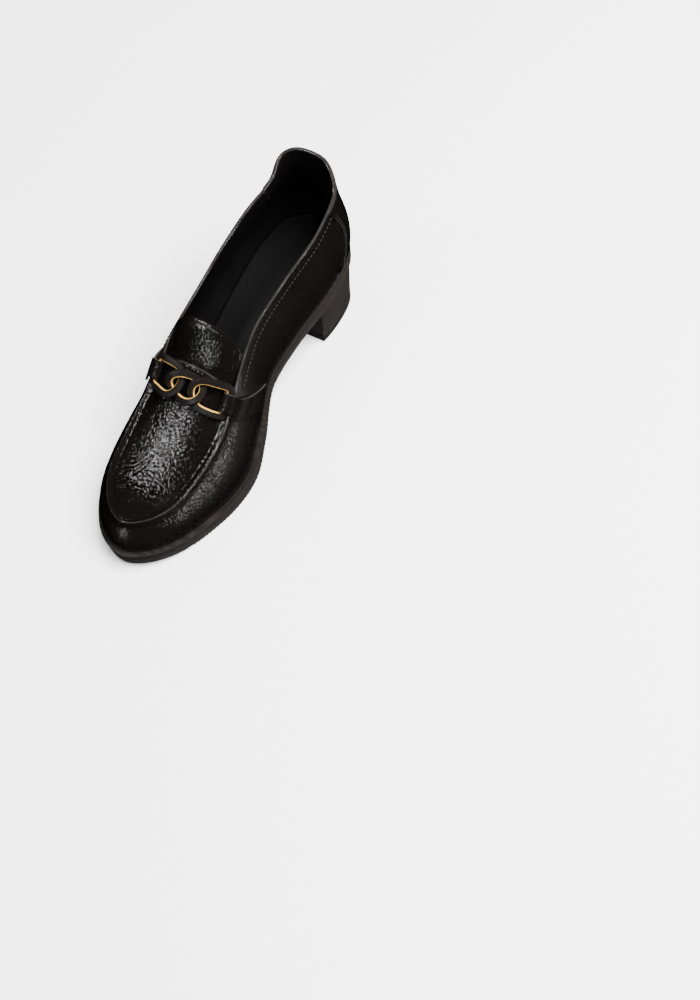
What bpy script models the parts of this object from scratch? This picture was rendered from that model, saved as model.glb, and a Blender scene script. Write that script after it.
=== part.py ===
# A right block-heel loafer pump: patent upper with a raised moccasin seam, tongue, strap tabs with a
# three-link chain, welt, outsole with a notched edge, heel block and top lift.
# Metres. +X runs towards the toe, +Y to the wearer's left, which is this foot's inner side, +Z up.
# The origin lies on the floor, in the middle of the top lift's underside.

import math
from collections import namedtuple

import bmesh
import bpy
import numpy as np
from mathutils import Matrix

# Driving dimensions of the last and the bottom
SOLE_LENGTH = 0.250
BALL_WIDTH = 0.0865
SEAT_RISE = 0.053
FORE_RISE = 0.0105
TOE_SPRING = 0.007
WELT_THICKNESS = 0.0042
WELT_STEP = 0.0034
OUTSOLE_WAIST = 0.0045
OUTSOLE_SEAT = 0.0055
CLEARANCE = 0.0003

# Driving dimensions of the upper
WALL = 0.0018
BACK_HEIGHT = 0.0660
CROWN_HEIGHT = 0.0165
THROAT_AT = 0.143
TOE_CENTRE_AT = 0.207
HEEL_CENTRE_AT = 0.029
SEAM_RAISE = 0.0011
SEAM_HALF_WIDTH = 0.0022
COUNTER_AT = 0.034
COUNTER_RAISE = 0.0008
COUNTER_EDGE = 0.0007
COUNTER_BOW = 0.0075

# Driving dimensions of the heel
HEEL_BREAST_AT = 0.056
HEEL_INSET = 0.0014
HEEL_TAPER = 0.0012
HEEL_BACK_SLOPE = 0.0010
HEEL_CHAMFER = 0.0005
LIFT_THICKNESS = 0.0062

# Driving dimensions of the insole and the tongue
INSOLE_THICKNESS = 0.0022
INSOLE_EDGE_GAP = 0.0008
TONGUE_THICKNESS = 0.0020
TONGUE_GAP = 0.0010
TONGUE_WIDTH_SHARE = 0.90
TONGUE_ROOT_AT = 0.1560
TONGUE_TIP_AT = 0.1235
TONGUE_SPREAD = 0.0050
TONGUE_FLARE = 0.0065
TONGUE_CORNER = 0.045
TONGUE_BOW = 0.01

# Driving dimensions of the tread
TREAD_FROM = 0.104
TREAD_TO = 0.222
TREAD_PITCH = 0.0028
TREAD_DEPTH = 0.0010
TREAD_REACH = 0.0110

# Driving dimensions of the chain and its strap tabs
CHAIN_AT = 0.1520
CHAIN_ASIDE = 0.0015
CHAIN_LIFT = 0.0050
LINK_WIDTH = 0.0044
LINK_HEIGHT = 0.0028
LINK_CHAMFER = 0.0009
OVAL_HALF_LENGTH = 0.0108
OVAL_HALF_WIDTH = 0.0078
OVAL_TWIST = 0.0025
BUCKLE_HALF_WIDTH = 0.0092
BUCKLE_INNER_AT = 0.0036
BUCKLE_LENGTH = 0.0225
BUCKLE_ROLL = 0.0042
BUCKLE_PIVOT_AT = 0.0058
BUCKLE_SHORTEN = 0.94
BUCKLE_SETTLE = 0.0016
STRAP_THICKNESS = 0.0013
STRAP_WIDTH_AT_BAR = 0.0118
STRAP_WIDTH_AT_ROOT = 0.0175
STRAP_ROOT_AT = 0.52
STRAP_LEAN = 0.0220

# Mesh densities
REAR_RIBS = 46
FRONT_RIBS = 23
PLUG_COLUMNS = 8
SOLE_STATIONS = 54
HEEL_STATIONS = 15
LINK_STEPS = 34
STRAP_STEPS = 11
TREAD_STEP_SHARES = (0.0, 0.30, 0.50, 0.80)

Row = namedtuple("Row", "along value")
OutlineRow = namedtuple("OutlineRow", "along side")
SectionRow = namedtuple("SectionRow", "along rail_in_left rail_in_right rail_up bulge lean")

# The edge of the sole seen from above, once round from the middle of the heel's back: along is a
# share of the sole's length, side is a share of the ball width, positive on the wearer's left.
SOLE_OUTLINE = [
    OutlineRow(0.000, 0.063),
    OutlineRow(0.015, 0.257),
    OutlineRow(0.078, 0.377),
    OutlineRow(0.190, 0.389),
    OutlineRow(0.310, 0.316),
    OutlineRow(0.430, 0.268),
    OutlineRow(0.550, 0.385),
    OutlineRow(0.650, 0.475),
    OutlineRow(0.735, 0.474),
    OutlineRow(0.820, 0.413),
    OutlineRow(0.900, 0.320),
    OutlineRow(0.965, 0.187),
    OutlineRow(0.998, 0.032),
    OutlineRow(0.992, -0.122),
    OutlineRow(0.952, -0.286),
    OutlineRow(0.880, -0.434),
    OutlineRow(0.790, -0.516),
    OutlineRow(0.705, -0.530),
    OutlineRow(0.620, -0.497),
    OutlineRow(0.520, -0.429),
    OutlineRow(0.400, -0.362),
    OutlineRow(0.270, -0.331),
    OutlineRow(0.150, -0.308),
    OutlineRow(0.056, -0.243),
    OutlineRow(0.012, -0.108),
]

# How much of the seat's rise is left at each share of the length
PITCH = [
    Row(0.00, 1.000), Row(0.10, 0.935), Row(0.21, 0.815), Row(0.31, 0.620), Row(0.40, 0.385),
    Row(0.49, 0.165), Row(0.57, 0.040), Row(0.64, 0.000), Row(1.00, 0.000),
]
# How much of the toe spring is reached
SPRING = [Row(0.00, 0.0), Row(0.76, 0.0), Row(0.84, 0.12), Row(0.92, 0.45), Row(1.00, 1.0)]
# The outsole's thickness below the welt: 1 in the forepart, 0 in the waist
FORE_SHARE = [Row(0.00, 0.0), Row(0.42, 0.0), Row(0.62, 1.0), Row(1.00, 1.0)]
# The same at the seat: 1 over the heel, 0 in the waist
SEAT_SHARE = [Row(0.00, 1.0), Row(0.22, 1.0), Row(0.34, 0.0), Row(1.00, 0.0)]

# How much of the welt's step shows outside the upper: little at the seat, all of it in front
STEP_SHARE = [Row(0.00, 0.36), Row(0.40, 0.36), Row(0.62, 1.0), Row(1.00, 1.0)]

# The wall of the upper, from the feather edge to its rail, which is the topline behind the throat
# and the moccasin seam in front. rail_in is the share of the way in to the centre line, rail_up a
# share of BACK_HEIGHT, bulge and lean shape the wall, lean in degrees at the rail.
SECTIONS = [
    SectionRow(0.00, 0.240, 0.240, 1.000, 0.0030, 2),
    SectionRow(0.10, 0.080, 0.420, 0.870, 0.0028, 6),
    SectionRow(0.20, 0.080, 0.260, 0.790, 0.0026, 10),
    SectionRow(0.32, 0.100, 0.140, 0.750, 0.0030, 14),
    SectionRow(0.42, 0.110, 0.110, 0.760, 0.0034, 20),
    SectionRow(0.51, 0.170, 0.160, 0.790, 0.0030, 30),
    SectionRow(0.58, 0.250, 0.240, 0.710, 0.0022, 40),
    SectionRow(0.66, 0.315, 0.310, 0.570, 0.0016, 46),
    SectionRow(0.75, 0.320, 0.320, 0.445, 0.0014, 48),
    SectionRow(0.85, 0.300, 0.300, 0.355, 0.0014, 50),
    SectionRow(0.95, 0.290, 0.290, 0.310, 0.0014, 52),
    SectionRow(1.00, 0.290, 0.290, 0.295, 0.0014, 52),
]

# The plug's crown above the straight line between its two rails, as a share of CROWN_HEIGHT
CROWN = [
    Row(0.00, 1.0), Row(0.51, 1.000), Row(0.58, 0.720), Row(0.66, 0.440), Row(0.75, 0.290),
    Row(0.83, 0.180), Row(0.90, 0.070), Row(0.95, 0.0), Row(1.00, 0.0),
]
CROWN_POWER = 2.2
WALL_ROWS = (0.0, 0.10, 0.22, 0.36, 0.50, 0.64, 0.77, 0.88)
LINING_ROWS = (0.0, 0.22, 0.44, 0.66, 0.86)

COLOURS = {
    "patent leather": ((0.010, 0.009, 0.009), 0.16, 0.0),
    "lining": ((0.012, 0.012, 0.012), 0.75, 0.0),
    "sole rubber": ((0.030, 0.026, 0.024), 0.55, 0.0),
    "coated metal": ((0.020, 0.018, 0.016), 0.45, 0.4),
}


class Curve:
    """A smooth line through one column of a table, without overshoot."""

    def __init__(self, rows, column="value"):
        self.xs = np.array([row.along for row in rows])
        self.ys = np.array([getattr(row, column) for row in rows])
        steps = np.diff(self.ys) / np.diff(self.xs)
        before, after = steps[:-1], steps[1:]
        same = before * after > 0
        total = np.where(same, before + after, 1.0)
        self.slopes = np.zeros(len(self.xs))
        self.slopes[1:-1] = np.where(same, 2 * before * after / total, 0.0)

    def __call__(self, share):
        share = np.clip(share, self.xs[0], self.xs[-1])
        k = np.clip(np.searchsorted(self.xs, share, side="right") - 1, 0, len(self.xs) - 2)
        width = self.xs[k + 1] - self.xs[k]
        t = (share - self.xs[k]) / width
        return (
            (2 * t**3 - 3 * t**2 + 1) * self.ys[k]
            + (t**3 - 2 * t**2 + t) * width * self.slopes[k]
            + (3 * t**2 - 2 * t**3) * self.ys[k + 1]
            + (t**3 - t**2) * width * self.slopes[k + 1]
        )


PITCH_CURVE = Curve(PITCH)
SPRING_CURVE = Curve(SPRING)
FORE_CURVE = Curve(FORE_SHARE)
SEAT_CURVE = Curve(SEAT_SHARE)
CROWN_CURVE = Curve(CROWN)
STEP_CURVE = Curve(STEP_SHARE)
SECTION_CURVES = {column: Curve(SECTIONS, column) for column in SectionRow._fields[1:]}


def round_loop(points, per_span=32):
    """A closed smooth curve through the points, as many small steps."""
    points = np.array(points, float)
    out = []
    for i in range(len(points)):
        p0, p1, p2, p3 = (points[(i + k - 1) % len(points)] for k in range(4))
        for j in range(per_span):
            t = j / per_span
            out.append(
                0.5 * (2 * p1 + (p2 - p0) * t + (2 * p0 - 5 * p1 + 4 * p2 - p3) * t**2
                       + (3 * p1 - p0 - 3 * p2 + p3) * t**3)
            )
    return np.array(out)


class Outline:
    """The sole's edge in plan, read by the share of its length from the heel's back."""

    def __init__(self):
        loop = round_loop([(r.along * SOLE_LENGTH, r.side * BALL_WIDTH) for r in SOLE_OUTLINE])
        self.points = np.vstack([loop, loop[:1]])
        steps = np.linalg.norm(np.diff(self.points, axis=0), axis=1)
        length = np.concatenate([[0], np.cumsum(steps)])
        self.total = length[-1]
        self.share = length / self.total
        self.toe = float(self.share[int(np.argmax(self.points[:, 0]))])

    def point(self, s):
        s = np.asarray(s, float) % 1.0
        return np.stack([np.interp(s, self.share, self.points[:, k]) for k in (0, 1)], -1)

    def inset(self, s, by):
        s = np.asarray(s, float)
        run = self.point(s + 0.004) - self.point(s - 0.004)
        run /= np.linalg.norm(run, axis=-1, keepdims=True)
        inward = np.stack([run[..., 1], -run[..., 0]], -1)
        return self.point(s) + inward * by

    def feather(self, s, further=0.0):
        """The upper's foot, inside the edge by the welt's step and a further distance."""
        by = WELT_STEP * STEP_CURVE(self.point(s)[..., 0] / SOLE_LENGTH) + further
        return self.inset(s, by[..., None])

    def find(self, x, side, line=None):
        """The share where the edge, or another line, reaches x on that side."""
        shares = np.linspace(0.0 if side > 0 else 1.0, self.toe, 700)
        points = (line or self.point)(shares)
        return np.interp(x, np.maximum.accumulate(points[:, 0]), shares)


OUTLINE = Outline()
THROAT_S = {side: OUTLINE.find(THROAT_AT, side, OUTLINE.feather) for side in (+1, -1)}
COUNTER_S = {side: OUTLINE.find(COUNTER_AT, side, OUTLINE.feather) for side in (+1, -1)}
CENTRE_X = np.linspace(HEEL_CENTRE_AT, TOE_CENTRE_AT, 90)
CENTRE_Y = sum(
    OUTLINE.feather(OUTLINE.find(CENTRE_X, side, OUTLINE.feather))[:, 1] for side in (+1, -1)
) / 2


def centre_y(x):
    """The last's centre line, midway between the two edges at x."""
    return np.interp(x, CENTRE_X, CENTRE_Y)


def feather_z(x):
    """Height of the welt's top face, which the upper stands on."""
    share = x / SOLE_LENGTH
    pitch = PITCH_CURVE(share) * (SEAT_RISE - FORE_RISE)
    return FORE_RISE + pitch + SPRING_CURVE(share) * TOE_SPRING


def outsole_top_z(x):
    return feather_z(x) - WELT_THICKNESS - CLEARANCE


def outsole_bottom_z(x):
    share = x / SOLE_LENGTH
    fore = FORE_CURVE(share) * (FORE_RISE - WELT_THICKNESS - CLEARANCE - OUTSOLE_WAIST)
    seat = SEAT_CURVE(share) * (OUTSOLE_SEAT - OUTSOLE_WAIST)
    return outsole_top_z(x) - OUTSOLE_WAIST - fore - seat


def unit(v):
    return v / np.linalg.norm(v, axis=-1, keepdims=True)


def wall_point(s, t):
    """The upper's wall: s round the outline, t from the feather edge to the rail."""
    s, t = np.broadcast_arrays(np.asarray(s, float), np.asarray(t, float))
    foot = OUTLINE.feather(s)
    x = foot[..., 0]
    goal_x = np.clip(x, HEEL_CENTRE_AT, TOE_CENTRE_AT)
    way = np.stack([goal_x, centre_y(goal_x)], -1) - foot
    reach = np.linalg.norm(way, axis=-1)
    section = {name: curve(x / SOLE_LENGTH) for name, curve in SECTION_CURVES.items()}
    outer = s % 1.0 < OUTLINE.toe
    rail_in = np.where(outer, section["rail_in_left"], section["rail_in_right"]) * reach
    rail_up = section["rail_up"] * BACK_HEIGHT
    lean = np.radians(section["lean"])
    across = (
        3 * t * (1 - t) ** 2 * -1.6 * section["bulge"]
        + 3 * t**2 * (1 - t) * (rail_in - np.sin(lean) * rail_up * 0.42)
        + t**3 * rail_in
    )
    up = (
        3 * t * (1 - t) ** 2 * rail_up * 0.40
        + 3 * t**2 * (1 - t) * rail_up * (1 - 0.42 * np.cos(lean))
        + t**3 * rail_up
    )
    plan = foot + way / reach[..., None] * across[..., None]
    return np.concatenate([plan, (feather_z(x) + CLEARANCE + up)[..., None]], -1)


def rail_s(g, side):
    """The outline share of the rail on one side: g 0 at the throat and 1 at the toe."""
    return THROAT_S[side] + g * (OUTLINE.toe - THROAT_S[side])


def plug_point(g, w):
    """The plug over the forefoot: g from the throat to the toe, w from the right rail to the left."""
    g, w = np.broadcast_arrays(np.asarray(g, float), np.asarray(w, float))
    outer = wall_point(rail_s(g, +1), 1.0)
    inner = wall_point(rail_s(g, -1), 1.0)
    base = inner + (outer - inner) * ((w + 1) / 2)[..., None]
    middle_x = (outer[..., 0] + inner[..., 0]) / 2
    crown = CROWN_CURVE(middle_x / SOLE_LENGTH) * CROWN_HEIGHT
    base[..., 2] += crown * (1 - np.abs(w) ** CROWN_POWER)
    return base


def normal_of(surface, a, b, step_a, step_b):
    along = surface(a + step_a, b) - surface(a - step_a, b)
    up = surface(a, b + step_b) - surface(a, b - step_b)
    return unit(np.cross(along, up))


def wall_normal(s, t):
    return -normal_of(wall_point, s, np.minimum(t, 0.999), 0.003, 0.001)


def plug_normal(g, w):
    """Outward normal of the plug. Close to the tip it is read a little behind it."""
    return normal_of(plug_point, np.clip(g, 0.004, 0.965), w, 0.004, 0.01)


def rail_normal(g, side):
    """At the seam the wall and the plug share one normal, between the two."""
    wall = wall_normal(rail_s(g, side), 1.0)
    return unit(wall + plug_normal(g, side * 0.98))


def bowed(s, t):
    """Moves a rib along the outline so that the ribs beside the counter follow its curved edge."""
    shift = 0.0
    for side, edge in COUNTER_S.items():
        away = ((s - edge + 0.5) % 1.0 - 0.5) * OUTLINE.total
        fade = np.exp(-((away / 0.016) ** 2))
        shift = shift - side * fade * COUNTER_BOW * np.sin(np.pi * t) / OUTLINE.total
    return s + shift


def rear_ribs():
    """Outline shares from the left throat back round the heel to the right throat, each with 1 on
    the counter and 0 on the quarter. The counter's edge is a pair of ribs close together."""
    edge = COUNTER_EDGE / OUTLINE.total
    start, end = THROAT_S[+1], THROAT_S[-1] - 1.0
    outer, inner = COUNTER_S[+1], COUNTER_S[-1] - 1.0
    span = start - end
    ribs = []
    for a, b, raised in ((start, outer + edge, 0), (outer, inner, 1), (inner - edge, end, 0)):
        count = max(2, round(REAR_RIBS * abs(a - b) / span))
        ribs += [(a + (b - a) * k / count, raised) for k in range(count + 1)]
    return ribs


def add_strip(bm, low, high, flip=False):
    """Faces between two rows of vertices, where a shared vertex makes a triangle."""
    for i in range(len(low) - 1):
        face = []
        for v in (low[i], low[i + 1], high[i + 1], high[i]):
            if v not in face:
                face.append(v)
        if len(face) > 2:
            bm.faces.new(face[::-1] if flip else face)


def add_row(bm, points):
    return [bm.verts.new(p) for p in points]


def make_object(name, bm, colour):
    """Turns the mesh into a named object with its material, shaded smooth up to sharp edges."""
    bmesh.ops.recalc_face_normals(bm, faces=bm.faces)
    mesh = bpy.data.meshes.new(name)
    bm.to_mesh(mesh)
    bm.free()
    mesh.transform(ROW_SHIFT)
    mesh.shade_smooth()
    mesh.set_sharp_from_angle(angle=math.radians(40))
    mesh.materials.append(MATERIALS[colour])
    obj = bpy.data.objects.new(name, mesh)
    bpy.context.scene.collection.objects.link(obj)
    return obj


def make_materials():
    made = {}
    for name, (colour, roughness, metallic) in COLOURS.items():
        material = bpy.data.materials.new(name)
        material.use_nodes = True
        shader = material.node_tree.nodes["Principled BSDF"]
        shader.inputs["Base Color"].default_value = (*colour, 1.0)
        shader.inputs["Roughness"].default_value = roughness
        shader.inputs["Metallic"].default_value = metallic
        made[name] = material
    return made


def seam_share(s):
    """How far down the wall the raised seam's foot and shoulder lie, as shares of the wall."""
    line = wall_point(s, np.linspace(0, 1, 13))
    arc = np.linalg.norm(np.diff(line, axis=0), axis=1).sum()
    return 1 - SEAM_HALF_WIDTH / arc, 1 - SEAM_HALF_WIDTH * 0.45 / arc


def wall_rib(s, raised, in_front, bow):
    """Outer and inner points of one rib of the wall, from the feather edge to the rail."""
    foot, shoulder = seam_share(s)
    outer, inner = [], []
    for t in (*WALL_ROWS, foot, shoulder, 1.0):
        place = bowed(s, t) if bow else s
        lift = COUNTER_RAISE * raised
        if in_front and t > foot:
            lift = SEAM_RAISE
        point = wall_point(place, t)
        foot_z = point[2]
        point = point + wall_normal(place, t) * lift
        if t == 0.0:
            point[2] = foot_z
        outer.append(point)
    for t in (*LINING_ROWS, 1.0):
        place = bowed(s, t) if bow else s
        point = wall_point(place, t) - wall_normal(place, t) * WALL
        if t == 0.0:
            point[2] = wall_point(place, t)[2]
        inner.append(point)
    return outer, inner


def make_upper():
    """Wall and plug as one hollow solid, open at the topline and underneath."""
    bm = bmesh.new()
    rear = [wall_rib(s, raised, False, True) for s, raised in rear_ribs()]
    front = {}
    for side in (+1, -1):
        front[side] = [
            wall_rib(rail_s(k / FRONT_RIBS, side), 0, True, False) for k in range(FRONT_RIBS + 1)
        ]
    for side in (+1, -1):
        for k, (outer, inner) in enumerate(front[side]):
            normal = rail_normal(k / FRONT_RIBS, side)
            base = wall_point(rail_s(k / FRONT_RIBS, side), 1.0)
            outer[-1] = base + normal * SEAM_RAISE * 1.25
            inner[-1] = base - normal * WALL
    # The seam's ridge starts at the throat, so the two ribs there are the front's own
    rear[0], rear[-1] = front[+1][0], front[-1][0]
    front[-1][-1] = front[+1][-1]
    loops = rear[:-1] + front[-1][:-1] + front[+1][:0:-1]
    outer_rows = [add_row(bm, outer) for outer, _ in loops]
    inner_rows = [add_row(bm, inner) for _, inner in loops]
    count = len(loops)
    for i in range(count):
        j = (i + 1) % count
        add_strip(bm, outer_rows[i], outer_rows[j])
        add_strip(bm, inner_rows[i], inner_rows[j], flip=True)
        add_strip(bm, [outer_rows[i][0], outer_rows[j][0]], [inner_rows[i][0], inner_rows[j][0]])
    rear_count = len(rear) - 1
    for i in range(rear_count):
        add_strip(bm, [outer_rows[i][-1], outer_rows[i + 1][-1]],
                  [inner_rows[i][-1], inner_rows[i + 1][-1]], flip=True)
    add_plug(bm, outer_rows, inner_rows, rear_count)
    return make_object("upper", bm, "patent leather")


def plug_columns(g):
    """The plug's columns from the right rail to the left one, with the seam's shoulder and foot."""
    half = np.linalg.norm(plug_point(g, 1.0) - plug_point(g, -1.0)) / 2
    foot = 1 - min(SEAM_HALF_WIDTH / half, 0.5)
    shoulder = 1 - min(SEAM_HALF_WIDTH * 0.45 / half, 0.25)
    middle = [foot * (2 * k / PLUG_COLUMNS - 1) for k in range(PLUG_COLUMNS + 1)]
    return [-shoulder, *middle, shoulder]


def add_plug(bm, outer_rows, inner_rows, rear_count):
    """Cross rows between the two rails, from the throat to the toe, outside and inside."""
    count = len(outer_rows)
    toe_index = rear_count + FRONT_RIBS
    last_outer = last_inner = None
    for k in range(FRONT_RIBS + 1):
        g = k / FRONT_RIBS
        from_inner = rear_count + k
        from_outer = (count - k) % count
        if from_inner == toe_index:
            outer = [outer_rows[toe_index][-1]] * (PLUG_COLUMNS + 5)
            inner = [inner_rows[toe_index][-1]] * (PLUG_COLUMNS + 5)
        else:
            outer, inner = [], []
            for w in plug_columns(g):
                point, normal = plug_point(g, w), plug_normal(g, w)
                lift = SEAM_RAISE if abs(w) > plug_columns(g)[-2] + 1e-9 else 0.0
                outer.append(bm.verts.new(point + normal * lift))
                inner.append(bm.verts.new(point - normal * WALL))
            outer = [outer_rows[from_inner][-1], *outer, outer_rows[from_outer][-1]]
            inner = [inner_rows[from_inner][-1], *inner, inner_rows[from_outer][-1]]
        if k == 0:
            add_strip(bm, outer, inner)
        else:
            add_strip(bm, last_outer, outer)
            add_strip(bm, last_inner, inner, flip=True)
        last_outer, last_inner = outer, inner


def sole_stations(low, high, count):
    """Shares of the way round each side, closer together at the round ends."""
    return [low + (high - low) * (1 - math.cos(math.pi * k / count)) / 2 for k in range(count + 1)]


def side_share(g, side):
    """The outline share on one side: g 0 at the back and 1 at the toe."""
    return OUTLINE.toe * g if side > 0 else 1.0 - (1.0 - OUTLINE.toe) * g


def make_plate(name, colour, top_z, bottom_z, line):
    """A plate that follows the last's bottom inside a line, between two heights."""
    bm = bmesh.new()
    xs = [float(line(side_share(g, +1))[0]) for g in sole_stations(0.0, 1.0, SOLE_STATIONS)]
    rows = {"top": [], "bottom": []}
    for level, height in (("top", top_z), ("bottom", bottom_z)):
        for k, x in enumerate(xs):
            if k in (0, SOLE_STATIONS):
                tip = bm.verts.new((x, line(0.0 if k == 0 else OUTLINE.toe)[1], height(x)))
                rows[level].append([tip, tip])
            else:
                ends = [line(OUTLINE.find(x, side, line))[1] for side in (-1, +1)]
                rows[level].append([bm.verts.new((x, y, height(x))) for y in ends])
    for i in range(SOLE_STATIONS):
        top, bottom = rows["top"], rows["bottom"]
        add_strip(bm, top[i], top[i + 1])
        add_strip(bm, bottom[i], bottom[i + 1], flip=True)
        for k in (0, 1):
            add_strip(bm, [bottom[i][k], bottom[i + 1][k]], [top[i][k], top[i + 1][k]])
    return make_object(name, bm, colour)


def make_welt():
    return make_plate("welt", "sole rubber", feather_z,
                      lambda x: feather_z(x) - WELT_THICKNESS, OUTLINE.point)


def make_insole():
    low = lambda x: feather_z(x) + CLEARANCE
    high = lambda x: feather_z(x) + CLEARANCE + INSOLE_THICKNESS
    line = lambda s: OUTLINE.feather(s, WALL + INSOLE_EDGE_GAP)
    return make_plate("insole", "lining", high, low, line)


def tread_stations():
    """X positions along the outsole, close together where the edge is notched."""
    notched = [
        TREAD_FROM + TREAD_PITCH * (k + share)
        for k in range(int((TREAD_TO - TREAD_FROM) / TREAD_PITCH))
        for share in TREAD_STEP_SHARES
    ]
    return notched


def notch_depth(x):
    """How far the edge is cut up at x: 0 on a land, TREAD_DEPTH in a notch."""
    if not TREAD_FROM <= x <= TREAD_TO:
        return 0.0
    share = ((x - TREAD_FROM) / TREAD_PITCH + 1e-6) % 1.0
    land, slope, deep = TREAD_STEP_SHARES[1:]
    if share < land:
        return 0.0
    if share < slope:
        return TREAD_DEPTH * (share - land) / (slope - land)
    if share < deep:
        return TREAD_DEPTH
    return TREAD_DEPTH * (1.0 - share) / (1.0 - deep)


def make_outsole():
    """The outsole under the welt, flat on the floor at the ball, with notches along its edges."""
    bm = bmesh.new()
    notched = tread_stations()
    ends = [OUTLINE.point(side_share(g, +1))[0] for g in sole_stations(0.0, 1.0, SOLE_STATIONS)]
    clear = TREAD_PITCH * 0.5
    xs = [x for x in ends if x < notched[0] - clear or x > notched[-1] + clear]
    xs = sorted(xs + notched)
    last = None
    for k, x in enumerate(xs):
        tip = k in (0, len(xs) - 1)
        top, bottom = feather_z(x) - WELT_THICKNESS - CLEARANCE, outsole_bottom_z(x)
        if tip:
            y = OUTLINE.point(0.0 if k == 0 else OUTLINE.toe)[1]
            upper, lower = bm.verts.new((x, y, top)), bm.verts.new((x, y, bottom))
            ring = [upper, upper, lower, lower, lower, lower]
        else:
            inner = OUTLINE.point(OUTLINE.find(x, -1))[1]
            outer = OUTLINE.point(OUTLINE.find(x, +1))[1]
            reach = min(TREAD_REACH, (outer - inner) * 0.25)
            cut = bottom + notch_depth(x)
            ring = add_row(bm, [
                (x, inner, top), (x, outer, top), (x, outer, cut),
                (x, outer - reach, bottom), (x, inner + reach, bottom), (x, inner, cut),
            ])
        if last:
            add_strip(bm, [*last, last[0]], [*ring, ring[0]])
        last = ring
    return make_object("outsole", bm, "sole rubber")


def heel_ring(inset, breast_x, back_shift):
    """The heel's D shape in plan: a flat breast, straight sides and the seat's round back."""
    ring = []
    for side, steps in ((+1, range(HEEL_STATIONS + 1)), (-1, range(HEEL_STATIONS - 1, 0, -1))):
        end = OUTLINE.find(HEEL_BREAST_AT, side)
        start = 0.0 if side > 0 else 1.0
        for k in steps:
            s = start + (end - start) * k / HEEL_STATIONS
            x, y = OUTLINE.inset(s, inset)
            share = min(max(x / HEEL_BREAST_AT, 0.0), 1.0)
            ring.append((back_shift + (breast_x - back_shift) * share, y))
    # The ring's own corner on the right closes the breast
    x, y = OUTLINE.inset(OUTLINE.find(HEEL_BREAST_AT, -1), inset)
    ring.insert(HEEL_STATIONS + 1, (breast_x, y))
    return ring


def make_heel_piece(name, levels):
    """A stack of D shapes, each level with its share of the heel's height, its height and inset."""
    bm = bmesh.new()
    loops = []
    for share, height, inset in levels:
        taper = HEEL_INSET + HEEL_TAPER * (1 - share) + inset
        ring = heel_ring(taper, HEEL_BREAST_AT - inset, HEEL_BACK_SLOPE * (1 - share) + inset)
        loops.append(add_row(bm, [(x, y, height(x)) for x, y in ring]))
    for low, high in zip(loops, loops[1:]):
        add_strip(bm, [*low, low[0]], [*high, high[0]])
    for loop in (loops[0], loops[-1]):
        half = len(loop) // 2
        outer = loop[: half + 1]
        inner = [loop[0], *loop[:half:-1]]
        add_strip(bm, outer[: len(inner)], inner[: len(outer)])
    return make_object(name, bm, "sole rubber")


def heel_top(x):
    return outsole_bottom_z(x) - CLEARANCE


def make_heel():
    bottom = LIFT_THICKNESS + CLEARANCE
    chamfer = HEEL_CHAMFER
    return make_heel_piece("heel_block", [
        (0.0, lambda x: bottom, chamfer),
        (0.0, lambda x: bottom + chamfer, 0.0),
        (1.0, heel_top, 0.0),
    ])


def make_top_lift():
    chamfer = HEEL_CHAMFER
    return make_heel_piece("top_lift", [
        (0.0, lambda x: 0.0, chamfer),
        (0.0, lambda x: chamfer, 0.0),
        (0.0, lambda x: LIFT_THICKNESS - chamfer, 0.0),
        (0.0, lambda x: LIFT_THICKNESS, chamfer),
    ])


PLUG_G = np.linspace(-0.6, 0.97, 320)
PLUG_MIDDLE = plug_point(PLUG_G, 0.0)


def middle_g(x):
    """How far along the plug its centre line reaches x; negative values lie behind the throat."""
    return np.interp(x, PLUG_MIDDLE[:, 0], PLUG_G)


def tongue_point(q, w):
    """The tongue's top face: q 0 at its root under the plug and 1 at its tip, w across from -1 to
    1. It carries on the plug's own curve and flares up behind the throat."""
    rounded = q - TONGUE_CORNER * q**6 * abs(w) ** 8 - TONGUE_BOW * q**2 * w**2
    x = TONGUE_ROOT_AT + (TONGUE_TIP_AT - TONGUE_ROOT_AT) * rounded
    behind = max(0.0, (THROAT_AT - x) / (THROAT_AT - TONGUE_TIP_AT))
    g, across = middle_g(x), w * TONGUE_WIDTH_SHARE
    point = plug_point(g, across) - plug_normal(g, across) * (WALL + TONGUE_GAP)
    point[1] += TONGUE_SPREAD * behind * max(w, -0.2)
    point[2] += TONGUE_FLARE * behind**1.5
    return point


def tongue_normal(q, w):
    return -normal_of(tongue_point, min(max(q, 0.02), 0.98), min(max(w, -0.98), 0.98), 0.01, 0.01)


def make_tongue():
    """A curved sheet that starts under the plug and stands up out of the throat."""
    bm = bmesh.new()
    rows, columns = 12, 12
    layers = []
    for depth in (0.0, TONGUE_THICKNESS):
        layer = []
        for i in range(rows + 1):
            points = []
            for j in range(columns + 1):
                q, w = i / rows, 2 * j / columns - 1
                normal = tongue_normal(q, w)
                points.append(tongue_point(q, w) - normal * depth)
            layer.append(add_row(bm, points))
        layers.append(layer)
    top, under = layers
    for i in range(rows):
        add_strip(bm, top[i], top[i + 1])
        add_strip(bm, under[i], under[i + 1], flip=True)
        for j in (0, columns):
            add_strip(bm, [top[i][j], top[i + 1][j]], [under[i][j], under[i + 1][j]])
    for i in (0, rows):
        add_strip(bm, top[i], under[i])
    return make_object("tongue", bm, "patent leather")


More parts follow.
